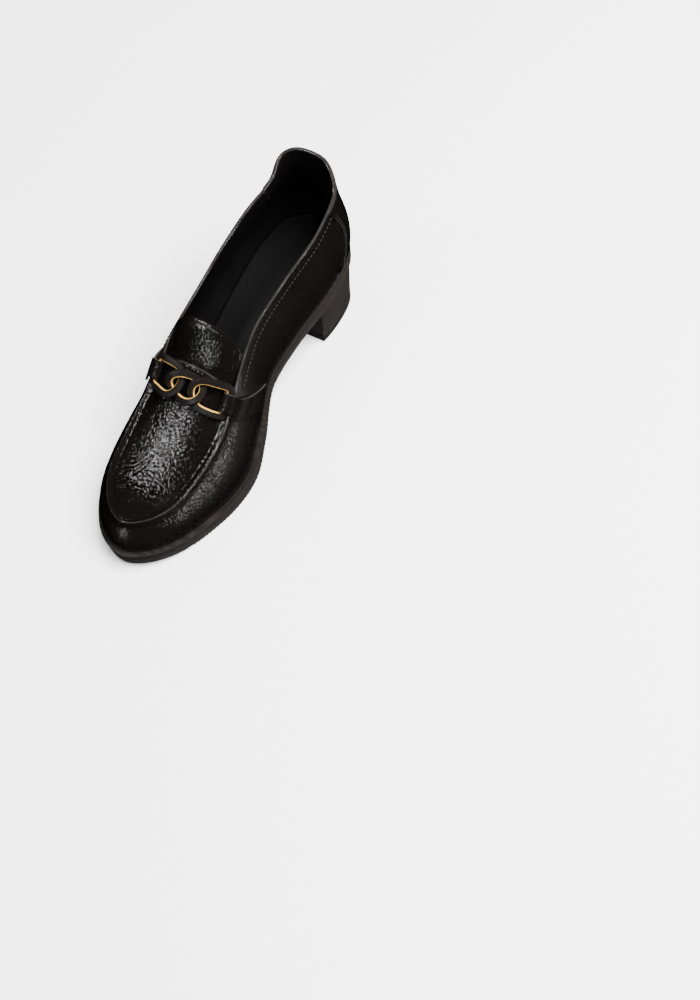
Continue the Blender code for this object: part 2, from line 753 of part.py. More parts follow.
class ChainFrame:
    """The chain's own axes on the instep: across to the left, up the instep, and off it."""

    def __init__(self):
        middle = plug_point(middle_g(CHAIN_AT), 0.0)
        rail = plug_point(middle_g(CHAIN_AT), 1.0)
        share = CHAIN_ASIDE / (rail[1] - middle[1])
        self.origin = plug_point(middle_g(CHAIN_AT), share)
        ahead, behind = (plug_point(middle_g(CHAIN_AT + k), share) for k in (0.006, -0.006))
        self.up = unit(behind - ahead)
        beside = plug_point(middle_g(CHAIN_AT), share + 0.1)
        self.across = unit(beside - self.origin)
        self.up = unit(self.up - self.across * np.dot(self.up, self.across))
        self.off = unit(np.cross(self.up, self.across))
        if self.off[2] < 0:
            self.off = -self.off

    def fall(self, across):
        """How far the instep lies below the chain's plane, beside the chain's middle."""
        line = plug_point(middle_g(CHAIN_AT), np.linspace(-0.94, 0.94, 48)) - self.origin
        return np.interp(across, line @ self.across, line @ self.off)

    def place(self, across, up, off):
        return self.origin + self.across * across + self.up * up + self.off * off


CHAIN = ChainFrame()


def oval_path(step):
    """The middle link's centre line, twisted so that each end passes over and under."""
    angle = 2 * math.pi * step
    a, b = math.cos(angle), math.sin(angle)
    return (OVAL_HALF_LENGTH * a, OVAL_HALF_WIDTH * b, CHAIN_LIFT - OVAL_TWIST * 2 * a * b)


def buckle_plan(step):
    """A buckle link seen from above: a straight bar outside and a round end inside."""
    corner = BUCKLE_HALF_WIDTH * 0.34
    wide = BUCKLE_HALF_WIDTH
    far = BUCKLE_INNER_AT + BUCKLE_LENGTH
    round_end = wide * 1.05
    pieces = []
    for k in range(13):
        angle = math.pi / 2 + math.pi * k / 12
        pieces.append((BUCKLE_INNER_AT + round_end + round_end * math.cos(angle),
                       wide * math.sin(angle)))
    for sign in (-1, +1):
        turn = range(0, 5) if sign < 0 else range(4, -1, -1)
        for k in turn:
            angle = math.pi / 2 * k / 4
            pieces.append((far - corner + corner * math.sin(angle),
                           sign * (wide - corner + corner * math.cos(angle))))
    loop = round_corners(pieces)
    return loop[int(step * len(loop)) % len(loop)]


def round_corners(points):
    """Spaces a closed run of points evenly."""
    closed = np.array([*points, points[0]], float)
    length = np.concatenate([[0], np.cumsum(np.linalg.norm(np.diff(closed, axis=0), axis=1))])
    places = np.linspace(0, length[-1], LINK_STEPS, endpoint=False)
    return [tuple(np.interp(p, length, closed[:, k]) for k in (0, 1)) for p in places]


def buckle_place(side, across, up):
    """Where a point of the flat buckle lies once it is bowed over the instep and rolled to interlock
    with the oval."""
    share = (across - BUCKLE_INNER_AT) / BUCKLE_LENGTH
    out = side * (BUCKLE_PIVOT_AT + (across - BUCKLE_PIVOT_AT) * BUCKLE_SHORTEN)
    fade = max(0.0, 1.0 - share / 0.75)
    roll = side * BUCKLE_ROLL * up / BUCKLE_HALF_WIDTH * fade
    return out, up, CHAIN_LIFT - BUCKLE_SETTLE * share + CHAIN.fall(out) + roll


def buckle_path(step, side):
    return buckle_place(side, *buckle_plan(step))


def link_section():
    """The link's cross section: a flat band with chamfered edges."""
    wide, high, cut = LINK_WIDTH / 2, LINK_HEIGHT / 2, LINK_CHAMFER
    return [
        (-wide, -high + cut), (-wide + cut, -high), (wide - cut, -high), (wide, -high + cut),
        (wide, high - cut), (wide - cut, high), (-wide + cut, high), (-wide, high - cut),
    ]


def make_link(name, path):
    """Sweeps the band round a closed path of the chain frame."""
    bm = bmesh.new()
    points = [CHAIN.place(*path(k / LINK_STEPS)) for k in range(LINK_STEPS)]
    middle = np.mean(points, axis=0)
    rings = []
    for k, point in enumerate(points):
        run = unit(points[(k + 1) % LINK_STEPS] - points[k - 1])
        # The plane of the link is taken over a quarter of the loop, so that the band turns evenly
        lift = np.cross(run, point - middle)
        lift = unit(lift if np.dot(lift, CHAIN.off) > 0 else -lift)
        outward = unit(np.cross(lift, run))
        if np.dot(outward, point - middle) < 0:
            outward = -outward
        rings.append(add_row(bm, [point + outward * a + lift * b for a, b in link_section()]))
    for k in range(LINK_STEPS):
        low, high = rings[k], rings[(k + 1) % LINK_STEPS]
        add_strip(bm, [*low, low[0]], [*high, high[0]])
    return make_object(name, bm, "coated metal")


def make_chain():
    make_link("chain_oval", oval_path)
    for side, name in ((+1, "chain_buckle_left"), (-1, "chain_buckle_right")):
        make_link(name, lambda step, side=side: buckle_path(step, side))


def skin(side, m, x):
    """The upper's outer surface at x, with its place along the seam: m is 0 at the rail and up to 1
    at the feather edge."""
    k = np.linspace(-0.6, 0.7, 300)
    line = wall_point(rail_s(k, side), 1 - m)
    k = np.interp(x, line[:, 0], k)
    return k, wall_point(rail_s(k, side), 1 - m)


def make_strap(name, side):
    """A leather tab: from its root on the wall up over the rail, round the buckle's bar and back."""
    bm = bmesh.new()
    bar_across, _, bar_off = buckle_place(side, BUCKLE_INNER_AT + BUCKLE_LENGTH, 0.0)
    loop = [buckle_path(k / LINK_STEPS, side) for k in range(LINK_STEPS)]
    mid_across, _, mid_off = np.mean(loop, axis=0)
    tilt = math.atan2(mid_off - bar_off, abs(bar_across - mid_across))
    radius = LINK_WIDTH / 2 + CLEARANCE * 1.5 + STRAP_THICKNESS / 2
    rise = LINK_HEIGHT / 2 + CLEARANCE * 1.5 + STRAP_THICKNESS / 2

    def round_bar(across, off):
        """A point beside the bar, in the buckle's own plane."""
        return (
            abs(bar_across) + across * math.cos(tilt) + off * math.sin(tilt),
            bar_off - across * math.sin(tilt) + off * math.cos(tilt),
        )

    turn = [
        round_bar(radius * 0.75, rise), round_bar(-radius * 0.55, rise),
        round_bar(-radius * 0.92, rise * 0.62), round_bar(-radius * 1.05, 0.0),
        round_bar(-radius * 1.02, -rise * 0.35),
    ]
    # The tab leaves the wall where it is clear of the bar, and goes over the rail if that is too
    clear = turn[0][0] + STRAP_THICKNESS
    on_wall = [
        m for m in STRAP_ROOT_AT * np.linspace(1.0, 0.0, STRAP_STEPS)
        if np.dot(skin(side, m, CHAIN.origin[0])[1] - CHAIN.origin, CHAIN.across) * side > clear
    ]
    columns = 4
    lines = []
    for j in range(columns + 1):
        place = 2 * j / columns - 1
        path = []
        for m in on_wall:
            width = STRAP_WIDTH_AT_BAR + (STRAP_WIDTH_AT_ROOT - STRAP_WIDTH_AT_BAR) * (
                m / STRAP_ROOT_AT) ** 1.5
            middle = CHAIN.origin[0] - STRAP_LEAN * m / STRAP_ROOT_AT
            k, point = skin(side, m, middle - place * width / 2)
            s = THROAT_S[side] + k * (OUTLINE.toe - THROAT_S[side])
            normal = wall_normal(s, 1 - m) if m > 0 else rail_normal(k, side)
            near = max(0.0, 1 - m / (STRAP_ROOT_AT * 0.45))
            lift = CLEARANCE * 1.5 + STRAP_THICKNESS / 2 + SEAM_RAISE * 1.35 * near**0.5
            path.append(point + normal * lift)
        for across, off in turn:
            path.append(CHAIN.place(side * across, place * STRAP_WIDTH_AT_BAR / 2, off))
        lines.append(path)
    steps = len(lines[0])
    half = STRAP_THICKNESS / 2
    layers = {+1: [], -1: []}
    for i in range(steps):
        rows = {+1: [], -1: []}
        for j in range(columns + 1):
            before, after = lines[j][max(i - 1, 0)], lines[j][min(i + 1, steps - 1)]
            width = lines[columns][i] - lines[0][i]
            normal = unit(np.cross(after - before, width)) * side
            for face in (+1, -1):
                rows[face].append(lines[j][i] + normal * half * face)
        for face in (+1, -1):
            layers[face].append(add_row(bm, rows[face]))
    over, under = layers[+1], layers[-1]
    for i in range(steps - 1):
        add_strip(bm, over[i], over[i + 1])
        add_strip(bm, under[i], under[i + 1], flip=True)
        for j in (0, columns):
            add_strip(bm, [over[i][j], over[i + 1][j]], [under[i][j], under[i + 1][j]])
    for i in (0, steps - 1):
        add_strip(bm, over[i], under[i])
    return make_object(name, bm, "patent leather")


for old in list(bpy.data.objects):
    bpy.data.objects.remove(old)
ORIGIN_AT = HEEL_BREAST_AT / 2
ROW_SHIFT = Matrix.Translation((-ORIGIN_AT, 0.0, 0.0))
MATERIALS = make_materials()

make_outsole()
make_welt()
make_heel()
make_top_lift()
make_insole()
make_upper()
make_tongue()
make_chain()
make_strap("strap_left", +1)
make_strap("strap_right", -1)
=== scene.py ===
# The looks of a right block-heel loafer pump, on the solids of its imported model: crinkled patent
# upper, topline beading, stitch rows, three-link chain with a gilt edge line, welt, sole and heel.
# The last's surface is the part's own, in metres, with +X towards the toe and +Z up.

import math
from collections import namedtuple

import bmesh
import bpy
import numpy as np
from mathutils import Matrix, Vector


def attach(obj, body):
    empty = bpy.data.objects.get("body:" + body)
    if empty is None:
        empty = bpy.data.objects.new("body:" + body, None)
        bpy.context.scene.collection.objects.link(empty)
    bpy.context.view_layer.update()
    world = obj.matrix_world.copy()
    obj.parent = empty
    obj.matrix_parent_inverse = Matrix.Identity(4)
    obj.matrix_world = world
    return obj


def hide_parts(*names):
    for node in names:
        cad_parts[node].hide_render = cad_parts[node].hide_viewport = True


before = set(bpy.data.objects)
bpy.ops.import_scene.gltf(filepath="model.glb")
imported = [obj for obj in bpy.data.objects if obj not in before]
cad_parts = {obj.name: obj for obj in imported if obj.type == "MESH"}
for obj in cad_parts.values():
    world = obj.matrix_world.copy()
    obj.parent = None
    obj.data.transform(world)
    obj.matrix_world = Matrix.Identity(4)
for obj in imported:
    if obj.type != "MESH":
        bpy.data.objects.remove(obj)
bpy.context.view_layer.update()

# Driving dimensions of the last and the welt
SOLE_LENGTH = 0.250
BALL_WIDTH = 0.0865
SEAT_RISE = 0.053
FORE_RISE = 0.0105
TOE_SPRING = 0.007
WELT_THICKNESS = 0.0042
WELT_STEP = 0.0034
CLEARANCE = 0.0003

# Driving dimensions of the upper
WALL = 0.0018
BACK_HEIGHT = 0.0660
CROWN_HEIGHT = 0.0165
THROAT_AT = 0.143
TOE_CENTRE_AT = 0.207
HEEL_CENTRE_AT = 0.029
SEAM_RAISE = 0.0011
COUNTER_AT = 0.034
COUNTER_RAISE = 0.0008
COUNTER_BOW = 0.0075

# Where the heel's breast crosses the sole, which sets the model's origin
HEEL_BREAST_AT = 0.056

# Driving dimensions of the insole and the tongue
INSOLE_THICKNESS = 0.0022
INSOLE_EDGE_GAP = 0.0008
TONGUE_THICKNESS = 0.0020
TONGUE_GAP = 0.0010
TONGUE_WIDTH_SHARE = 0.90
TONGUE_ROOT_AT = 0.1560
TONGUE_TIP_AT = 0.1235
TONGUE_SPREAD = 0.0050
TONGUE_FLARE = 0.0065
TONGUE_CORNER = 0.045
TONGUE_BOW = 0.01

# Driving dimensions of the chain and its strap tabs
CHAIN_AT = 0.1520
CHAIN_ASIDE = 0.0015
CHAIN_LIFT = 0.0050
LINK_WIDTH = 0.0044
LINK_HEIGHT = 0.0028
LINK_CHAMFER = 0.0009
OVAL_HALF_LENGTH = 0.0108
OVAL_HALF_WIDTH = 0.0078
OVAL_TWIST = 0.0025
BUCKLE_HALF_WIDTH = 0.0092
BUCKLE_INNER_AT = 0.0036
BUCKLE_LENGTH = 0.0225
BUCKLE_ROLL = 0.0042
BUCKLE_PIVOT_AT = 0.0058
BUCKLE_SHORTEN = 0.94
BUCKLE_SETTLE = 0.0016
STRAP_THICKNESS = 0.0013
STRAP_WIDTH_AT_BAR = 0.0118
STRAP_WIDTH_AT_ROOT = 0.0175
STRAP_ROOT_AT = 0.52
STRAP_LEAN = 0.0220

# Driving dimensions of the looks
ROW_SHIFT = np.array([HEEL_BREAST_AT / 2, 0.0, 0.0])
REAR_COLUMNS = 250
FRONT_COLUMNS = 104
WALL_LEVELS = 46
PLUG_LEVELS = 56
COUNTER_DENSE = 0.006
GROOVE_DEPTH = 0.0005
GROOVE_WIDTH = 0.0007
RIDGE_HEIGHT = 0.0018
# Share of the wall's height above which the front wall takes the lighter smooth patent, a painted
# highlight band on the seam crest
CREST_FROM = 0.91
RIDGE_OUTER = 0.0026
RIDGE_INNER = 0.0014
BEAD_RADIUS = 0.0009
STITCH_LENGTH = 0.0019
STITCH_PITCH = 0.0027
STITCH_RADIUS = 0.00028
TOPLINE_STITCH_INSET = 0.0044
COUNTER_STITCH_INSETS = (0.0016, 0.0032)
STRAP_STITCH_PITCH = 0.0022
TONGUE_GROOVE_IN = 0.0030
TONGUE_GROOVE_DEPTH = 0.0004
PLUG_GROOVE_IN = 0.0030
PLUG_GROOVE_DEPTH = 0.00035
INSOLE_LIP = 0.0010
BAR_STEPS = 34
LINK_STEPS = 150
STRAP_STEPS = 11
VIEW_FROM = (0.3278, 0.2542, 0.5652)
VIEW_ALONG = (-0.3318, -0.2475, -0.9103)
VIEW_UP = (-0.8140, -0.4127, 0.4088)
VIEW_LENS = 36.0
VIEW_SENSOR = 36.0
FLOOR_REACH = 3.0
LIGHTS_AIM = (0.1, 0.0, 0.04)
WORLD_STRENGTH = 0.6

# Name, direction from the shoe, distance, width, height and power of each soft light, and whether
# the leather mirrors it
LIGHTS = [
    ("instep light", (0.43, -0.41, 0.80), 1.3, 0.10, 0.22, 3.4, True),
    ("front light", (0.93, -0.18, 0.36), 1.3, 0.10, 0.30, 1.6, True),
    ("side light", (0.20, 0.94, 0.26), 1.3, 0.10, 0.12, 1.4, True),
    ("side glow", (-0.20, 0.92, -0.05), 1.2, 1.3, 0.5, 0.5, True),
    ("top light", (-0.15, 0.45, 0.9), 1.7, 1.1, 1.1, 195.0, False),
]

# The welt's rim in section, as distances in from the sole's edge and up from its underside
WELT_SECTION = [
    (0.0004, 0.0), (0.0, 0.0004), (0.0, 0.0013), (0.0004, 0.0016), (0.0004, 0.0020), (0.0, 0.0023),
    (0.0, 0.0036), (0.0003, 0.0041), (0.0008, WELT_THICKNESS), (0.0030, WELT_THICKNESS),
    (0.0100, WELT_THICKNESS), (0.0100, 0.0), (0.0004, 0.0),
]

Row = namedtuple("Row", "along value")
OutlineRow = namedtuple("OutlineRow", "along side")
SectionRow = namedtuple("SectionRow", "along rail_in_left rail_in_right rail_up bulge lean")

# The edge of the sole seen from above, once round from the middle of the heel's back: along is a
# share of the sole's length, side is a share of the ball width, positive on the wearer's left.
SOLE_OUTLINE = [
    OutlineRow(0.000, 0.063),
    OutlineRow(0.015, 0.257),
    OutlineRow(0.078, 0.377),
    OutlineRow(0.190, 0.389),
    OutlineRow(0.310, 0.316),
    OutlineRow(0.430, 0.268),
    OutlineRow(0.550, 0.385),
    OutlineRow(0.650, 0.475),
    OutlineRow(0.735, 0.474),
    OutlineRow(0.820, 0.413),
    OutlineRow(0.900, 0.320),
    OutlineRow(0.965, 0.187),
    OutlineRow(0.998, 0.032),
    OutlineRow(0.992, -0.122),
    OutlineRow(0.952, -0.286),
    OutlineRow(0.880, -0.434),
    OutlineRow(0.790, -0.516),
    OutlineRow(0.705, -0.530),
    OutlineRow(0.620, -0.497),
    OutlineRow(0.520, -0.429),
    OutlineRow(0.400, -0.362),
    OutlineRow(0.270, -0.331),
    OutlineRow(0.150, -0.308),
    OutlineRow(0.056, -0.243),
    OutlineRow(0.012, -0.108),
]

# How much of the seat's rise is left at each share of the length
PITCH = [
    Row(0.00, 1.000), Row(0.10, 0.935), Row(0.21, 0.815), Row(0.31, 0.620), Row(0.40, 0.385),
    Row(0.49, 0.165), Row(0.57, 0.040), Row(0.64, 0.000), Row(1.00, 0.000),
]
# How much of the toe spring is reached
SPRING = [Row(0.00, 0.0), Row(0.76, 0.0), Row(0.84, 0.12), Row(0.92, 0.45), Row(1.00, 1.0)]

# How much of the welt's step shows outside the upper: little at the seat, all of it in front
STEP_SHARE = [Row(0.00, 0.36), Row(0.40, 0.36), Row(0.62, 1.0), Row(1.00, 1.0)]

# The wall of the upper, from the feather edge to its rail, which is the topline behind the throat
# and the moccasin seam in front. rail_in is the share of the way in to the centre line, rail_up a
# share of BACK_HEIGHT, bulge and lean shape the wall, lean in degrees at the rail.
SECTIONS = [
    SectionRow(0.00, 0.240, 0.240, 1.000, 0.0030, 2),
    SectionRow(0.10, 0.080, 0.420, 0.870, 0.0028, 6),
    SectionRow(0.20, 0.080, 0.260, 0.790, 0.0026, 10),
    SectionRow(0.32, 0.100, 0.140, 0.750, 0.0030, 14),
    SectionRow(0.42, 0.110, 0.110, 0.760, 0.0034, 20),
    SectionRow(0.51, 0.170, 0.160, 0.790, 0.0030, 30),
    SectionRow(0.58, 0.250, 0.240, 0.710, 0.0022, 40),
    SectionRow(0.66, 0.315, 0.310, 0.570, 0.0016, 46),
    SectionRow(0.75, 0.320, 0.320, 0.445, 0.0014, 48),
    SectionRow(0.85, 0.300, 0.300, 0.355, 0.0014, 50),
    SectionRow(0.95, 0.290, 0.290, 0.310, 0.0014, 52),
    SectionRow(1.00, 0.290, 0.290, 0.295, 0.0014, 52),
]

# The plug's crown above the straight line between its two rails, as a share of CROWN_HEIGHT
CROWN = [
    Row(0.00, 1.0), Row(0.51, 1.000), Row(0.58, 0.720), Row(0.66, 0.440), Row(0.75, 0.290),
    Row(0.83, 0.180), Row(0.90, 0.070), Row(0.95, 0.0), Row(1.00, 0.0),
]
CROWN_POWER = 2.2


class Curve:
    """A smooth line through one column of a table, without overshoot."""

    def __init__(self, rows, column="value"):
        self.xs = np.array([row.along for row in rows])
        self.ys = np.array([getattr(row, column) for row in rows])
        steps = np.diff(self.ys) / np.diff(self.xs)
        before, after = steps[:-1], steps[1:]
        same = before * after > 0
        total = np.where(same, before + after, 1.0)
        self.slopes = np.zeros(len(self.xs))
        self.slopes[1:-1] = np.where(same, 2 * before * after / total, 0.0)

    def __call__(self, share):
        share = np.clip(share, self.xs[0], self.xs[-1])
        k = np.clip(np.searchsorted(self.xs, share, side="right") - 1, 0, len(self.xs) - 2)
        width = self.xs[k + 1] - self.xs[k]
        t = (share - self.xs[k]) / width
        return (
            (2 * t**3 - 3 * t**2 + 1) * self.ys[k]
            + (t**3 - 2 * t**2 + t) * width * self.slopes[k]
            + (3 * t**2 - 2 * t**3) * self.ys[k + 1]
            + (t**3 - t**2) * width * self.slopes[k + 1]
        )


PITCH_CURVE = Curve(PITCH)
SPRING_CURVE = Curve(SPRING)
CROWN_CURVE = Curve(CROWN)
STEP_CURVE = Curve(STEP_SHARE)
SECTION_CURVES = {column: Curve(SECTIONS, column) for column in SectionRow._fields[1:]}


def round_loop(points, per_span=32):
    """A closed smooth curve through the points, as many small steps."""
    points = np.array(points, float)
    out = []
    for i in range(len(points)):
        p0, p1, p2, p3 = (points[(i + k - 1) % len(points)] for k in range(4))
        for j in range(per_span):
            t = j / per_span
            out.append(
                0.5 * (2 * p1 + (p2 - p0) * t + (2 * p0 - 5 * p1 + 4 * p2 - p3) * t**2
                       + (3 * p1 - p0 - 3 * p2 + p3) * t**3)
            )
    return np.array(out)


class Outline:
    """The sole's edge in plan, read by the share of its length from the heel's back."""

    def __init__(self):
        loop = round_loop([(r.along * SOLE_LENGTH, r.side * BALL_WIDTH) for r in SOLE_OUTLINE])
        self.points = np.vstack([loop, loop[:1]])
        steps = np.linalg.norm(np.diff(self.points, axis=0), axis=1)
        length = np.concatenate([[0], np.cumsum(steps)])
        self.total = length[-1]
        self.share = length / self.total
        self.toe = float(self.share[int(np.argmax(self.points[:, 0]))])

    def point(self, s):
        s = np.asarray(s, float) % 1.0
        return np.stack([np.interp(s, self.share, self.points[:, k]) for k in (0, 1)], -1)

    def inset(self, s, by):
        s = np.asarray(s, float)
        run = self.point(s + 0.004) - self.point(s - 0.004)
        run /= np.linalg.norm(run, axis=-1, keepdims=True)
        inward = np.stack([run[..., 1], -run[..., 0]], -1)
        return self.point(s) + inward * by

    def feather(self, s, further=0.0):
        """The upper's foot, inside the edge by the welt's step and a further distance."""
        by = WELT_STEP * STEP_CURVE(self.point(s)[..., 0] / SOLE_LENGTH) + further
        return self.inset(s, by[..., None])

    def find(self, x, side, line=None):
        """The share where the edge, or another line, reaches x on that side."""
        shares = np.linspace(0.0 if side > 0 else 1.0, self.toe, 700)
        points = (line or self.point)(shares)
        return np.interp(x, np.maximum.accumulate(points[:, 0]), shares)


OUTLINE = Outline()
THROAT_S = {side: OUTLINE.find(THROAT_AT, side, OUTLINE.feather) for side in (+1, -1)}
COUNTER_S = {side: OUTLINE.find(COUNTER_AT, side, OUTLINE.feather) for side in (+1, -1)}
CENTRE_X = np.linspace(HEEL_CENTRE_AT, TOE_CENTRE_AT, 90)
CENTRE_Y = sum(
    OUTLINE.feather(OUTLINE.find(CENTRE_X, side, OUTLINE.feather))[:, 1] for side in (+1, -1)
) / 2


def centre_y(x):
    """The last's centre line, midway between the two edges at x."""
    return np.interp(x, CENTRE_X, CENTRE_Y)


def feather_z(x):
    """Height of the welt's top face, which the upper stands on."""
    share = x / SOLE_LENGTH
    pitch = PITCH_CURVE(share) * (SEAT_RISE - FORE_RISE)
    return FORE_RISE + pitch + SPRING_CURVE(share) * TOE_SPRING


def unit(v):
    return v / np.linalg.norm(v, axis=-1, keepdims=True)


def wall_point(s, t):
    """The upper's wall: s round the outline, t from the feather edge to the rail."""
    s, t = np.broadcast_arrays(np.asarray(s, float), np.asarray(t, float))
    foot = OUTLINE.feather(s)
    x = foot[..., 0]
    goal_x = np.clip(x, HEEL_CENTRE_AT, TOE_CENTRE_AT)
    way = np.stack([goal_x, centre_y(goal_x)], -1) - foot
    reach = np.linalg.norm(way, axis=-1)
    section = {name: curve(x / SOLE_LENGTH) for name, curve in SECTION_CURVES.items()}
    outer = s % 1.0 < OUTLINE.toe
    rail_in = np.where(outer, section["rail_in_left"], section["rail_in_right"]) * reach
    rail_up = section["rail_up"] * BACK_HEIGHT
    lean = np.radians(section["lean"])
    across = (
        3 * t * (1 - t) ** 2 * -1.6 * section["bulge"]
        + 3 * t**2 * (1 - t) * (rail_in - np.sin(lean) * rail_up * 0.42)
        + t**3 * rail_in
    )
    up = (
        3 * t * (1 - t) ** 2 * rail_up * 0.40
        + 3 * t**2 * (1 - t) * rail_up * (1 - 0.42 * np.cos(lean))
        + t**3 * rail_up
    )
    plan = foot + way / reach[..., None] * across[..., None]
    return np.concatenate([plan, (feather_z(x) + CLEARANCE + up)[..., None]], -1)


def rail_s(g, side):
    """The outline share of the rail on one side: g 0 at the throat and 1 at the toe."""
    return THROAT_S[side] + g * (OUTLINE.toe - THROAT_S[side])


def plug_point(g, w):
    """The plug over the forefoot: g from the throat to the toe, w from the right rail to the left."""
    g, w = np.broadcast_arrays(np.asarray(g, float), np.asarray(w, float))
    outer = wall_point(rail_s(g, +1), 1.0)
    inner = wall_point(rail_s(g, -1), 1.0)
    base = inner + (outer - inner) * ((w + 1) / 2)[..., None]
    middle_x = (outer[..., 0] + inner[..., 0]) / 2
    crown = CROWN_CURVE(middle_x / SOLE_LENGTH) * CROWN_HEIGHT
    base[..., 2] += crown * (1 - np.abs(w) ** CROWN_POWER)
    return base


def normal_of(surface, a, b, step_a, step_b):
    along = surface(a + step_a, b) - surface(a - step_a, b)
    up = surface(a, b + step_b) - surface(a, b - step_b)
    return unit(np.cross(along, up))


def wall_normal(s, t):
    return -normal_of(wall_point, s, np.minimum(t, 0.999), 0.003, 0.001)


def plug_normal(g, w):
    """Outward normal of the plug. Close to the tip it is read a little behind it."""
    return normal_of(plug_point, np.clip(g, 0.004, 0.965), w, 0.004, 0.01)


def rail_normal(g, side):
    """At the seam the wall and the plug share one normal, between the two."""
    wall = wall_normal(rail_s(g, side), 1.0)
    return unit(wall + plug_normal(g, side * 0.98))


PLUG_G = np.linspace(-0.6, 0.97, 320)
PLUG_MIDDLE = plug_point(PLUG_G, 0.0)


def middle_g(x):
    """How far along the plug its centre line reaches x; negative values lie behind the throat."""
    return np.interp(x, PLUG_MIDDLE[:, 0], PLUG_G)


def tongue_point(q, w):
    """The tongue's top face: q 0 at its root under the plug and 1 at its tip, w across from -1 to
    1. It carries on the plug's own curve and flares up behind the throat."""
    rounded = q - TONGUE_CORNER * q**6 * abs(w) ** 8 - TONGUE_BOW * q**2 * w**2
    x = TONGUE_ROOT_AT + (TONGUE_TIP_AT - TONGUE_ROOT_AT) * rounded
    behind = max(0.0, (THROAT_AT - x) / (THROAT_AT - TONGUE_TIP_AT))
    g, across = middle_g(x), w * TONGUE_WIDTH_SHARE
    point = plug_point(g, across) - plug_normal(g, across) * (WALL + TONGUE_GAP)
    point[1] += TONGUE_SPREAD * behind * max(w, -0.2)
    point[2] += TONGUE_FLARE * behind**1.5
    return point


class ChainFrame:
    """The chain's own axes on the instep: across to the left, up the instep, and off it."""

    def __init__(self):
        middle = plug_point(middle_g(CHAIN_AT), 0.0)
        rail = plug_point(middle_g(CHAIN_AT), 1.0)
        share = CHAIN_ASIDE / (rail[1] - middle[1])
        self.origin = plug_point(middle_g(CHAIN_AT), share)
        ahead, behind = (plug_point(middle_g(CHAIN_AT + k), share) for k in (0.006, -0.006))
        self.up = unit(behind - ahead)
        beside = plug_point(middle_g(CHAIN_AT), share + 0.1)
        self.across = unit(beside - self.origin)
        self.up = unit(self.up - self.across * np.dot(self.up, self.across))
        self.off = unit(np.cross(self.up, self.across))
        if self.off[2] < 0:
            self.off = -self.off

    def fall(self, across):
        """How far the instep lies below the chain's plane, beside the chain's middle."""
        line = plug_point(middle_g(CHAIN_AT), np.linspace(-0.94, 0.94, 48)) - self.origin
        return np.interp(across, line @ self.across, line @ self.off)

    def place(self, across, up, off):
        return self.origin + self.across * across + self.up * up + self.off * off


CHAIN = ChainFrame()


def oval_path(step):
    """The middle link's centre line, twisted so that each end passes over and under."""
    angle = 2 * math.pi * step
    a, b = math.cos(angle), math.sin(angle)
    return (OVAL_HALF_LENGTH * a, OVAL_HALF_WIDTH * b, CHAIN_LIFT - OVAL_TWIST * 2 * a * b)


def buckle_plan(step):
    """A buckle link seen from above: a straight bar outside and a round end inside."""
    corner = BUCKLE_HALF_WIDTH * 0.34
    wide = BUCKLE_HALF_WIDTH
    far = BUCKLE_INNER_AT + BUCKLE_LENGTH
    round_end = wide * 1.05
    pieces = []
    for k in range(13):
        angle = math.pi / 2 + math.pi * k / 12
        pieces.append((BUCKLE_INNER_AT + round_end + round_end * math.cos(angle),
                       wide * math.sin(angle)))
    for sign in (-1, +1):
        turn = range(0, 5) if sign < 0 else range(4, -1, -1)
        for k in turn:
            angle = math.pi / 2 * k / 4
            pieces.append((far - corner + corner * math.sin(angle),
                           sign * (wide - corner + corner * math.cos(angle))))
    loop = round_corners(pieces)
    return loop[int(step * len(loop)) % len(loop)]


def round_corners(points):
    """Spaces a closed run of points evenly."""
    closed = np.array([*points, points[0]], float)
    length = np.concatenate([[0], np.cumsum(np.linalg.norm(np.diff(closed, axis=0), axis=1))])
    places = np.linspace(0, length[-1], LINK_STEPS, endpoint=False)
    return [tuple(np.interp(p, length, closed[:, k]) for k in (0, 1)) for p in places]


def buckle_place(side, across, up):
    """Where a point of the flat buckle lies once it is bowed over the instep and rolled to interlock
    with the oval."""
    share = (across - BUCKLE_INNER_AT) / BUCKLE_LENGTH
    out = side * (BUCKLE_PIVOT_AT + (across - BUCKLE_PIVOT_AT) * BUCKLE_SHORTEN)
    fade = max(0.0, 1.0 - share / 0.75)
    roll = side * BUCKLE_ROLL * up / BUCKLE_HALF_WIDTH * fade
    return out, up, CHAIN_LIFT - BUCKLE_SETTLE * share + CHAIN.fall(out) + roll


def buckle_path(step, side):
    return buckle_place(side, *buckle_plan(step))


def skin(side, m, x):
    """The upper's outer surface at x, with its place along the seam: m is 0 at the rail and up to 1
    at the feather edge."""
    k = np.linspace(-0.6, 0.7, 300)
    line = wall_point(rail_s(k, side), 1 - m)
    k = np.interp(x, line[:, 0], k)
    return k, wall_point(rail_s(k, side), 1 - m)


# The colour sockets of a Mix node that is set to colours
MIX_FROM, MIX_TO, MIX_RESULT = 6, 7, 2


class Value:
    """A socket of a finish's nodes, so that shader maths reads as an expression."""

    def __init__(self, finish, socket):
        self.finish, self.socket = finish, socket

    def maths(self, operation, left, right):
        return self.finish.add("ShaderNodeMath", {"operation": operation}, {0: left, 1: right})

    def __add__(self, other):
        return self.maths("ADD", self, other)

    def __mul__(self, other):
        return self.maths("MULTIPLY", self, other)

    __radd__ = __add__
    __rmul__ = __mul__


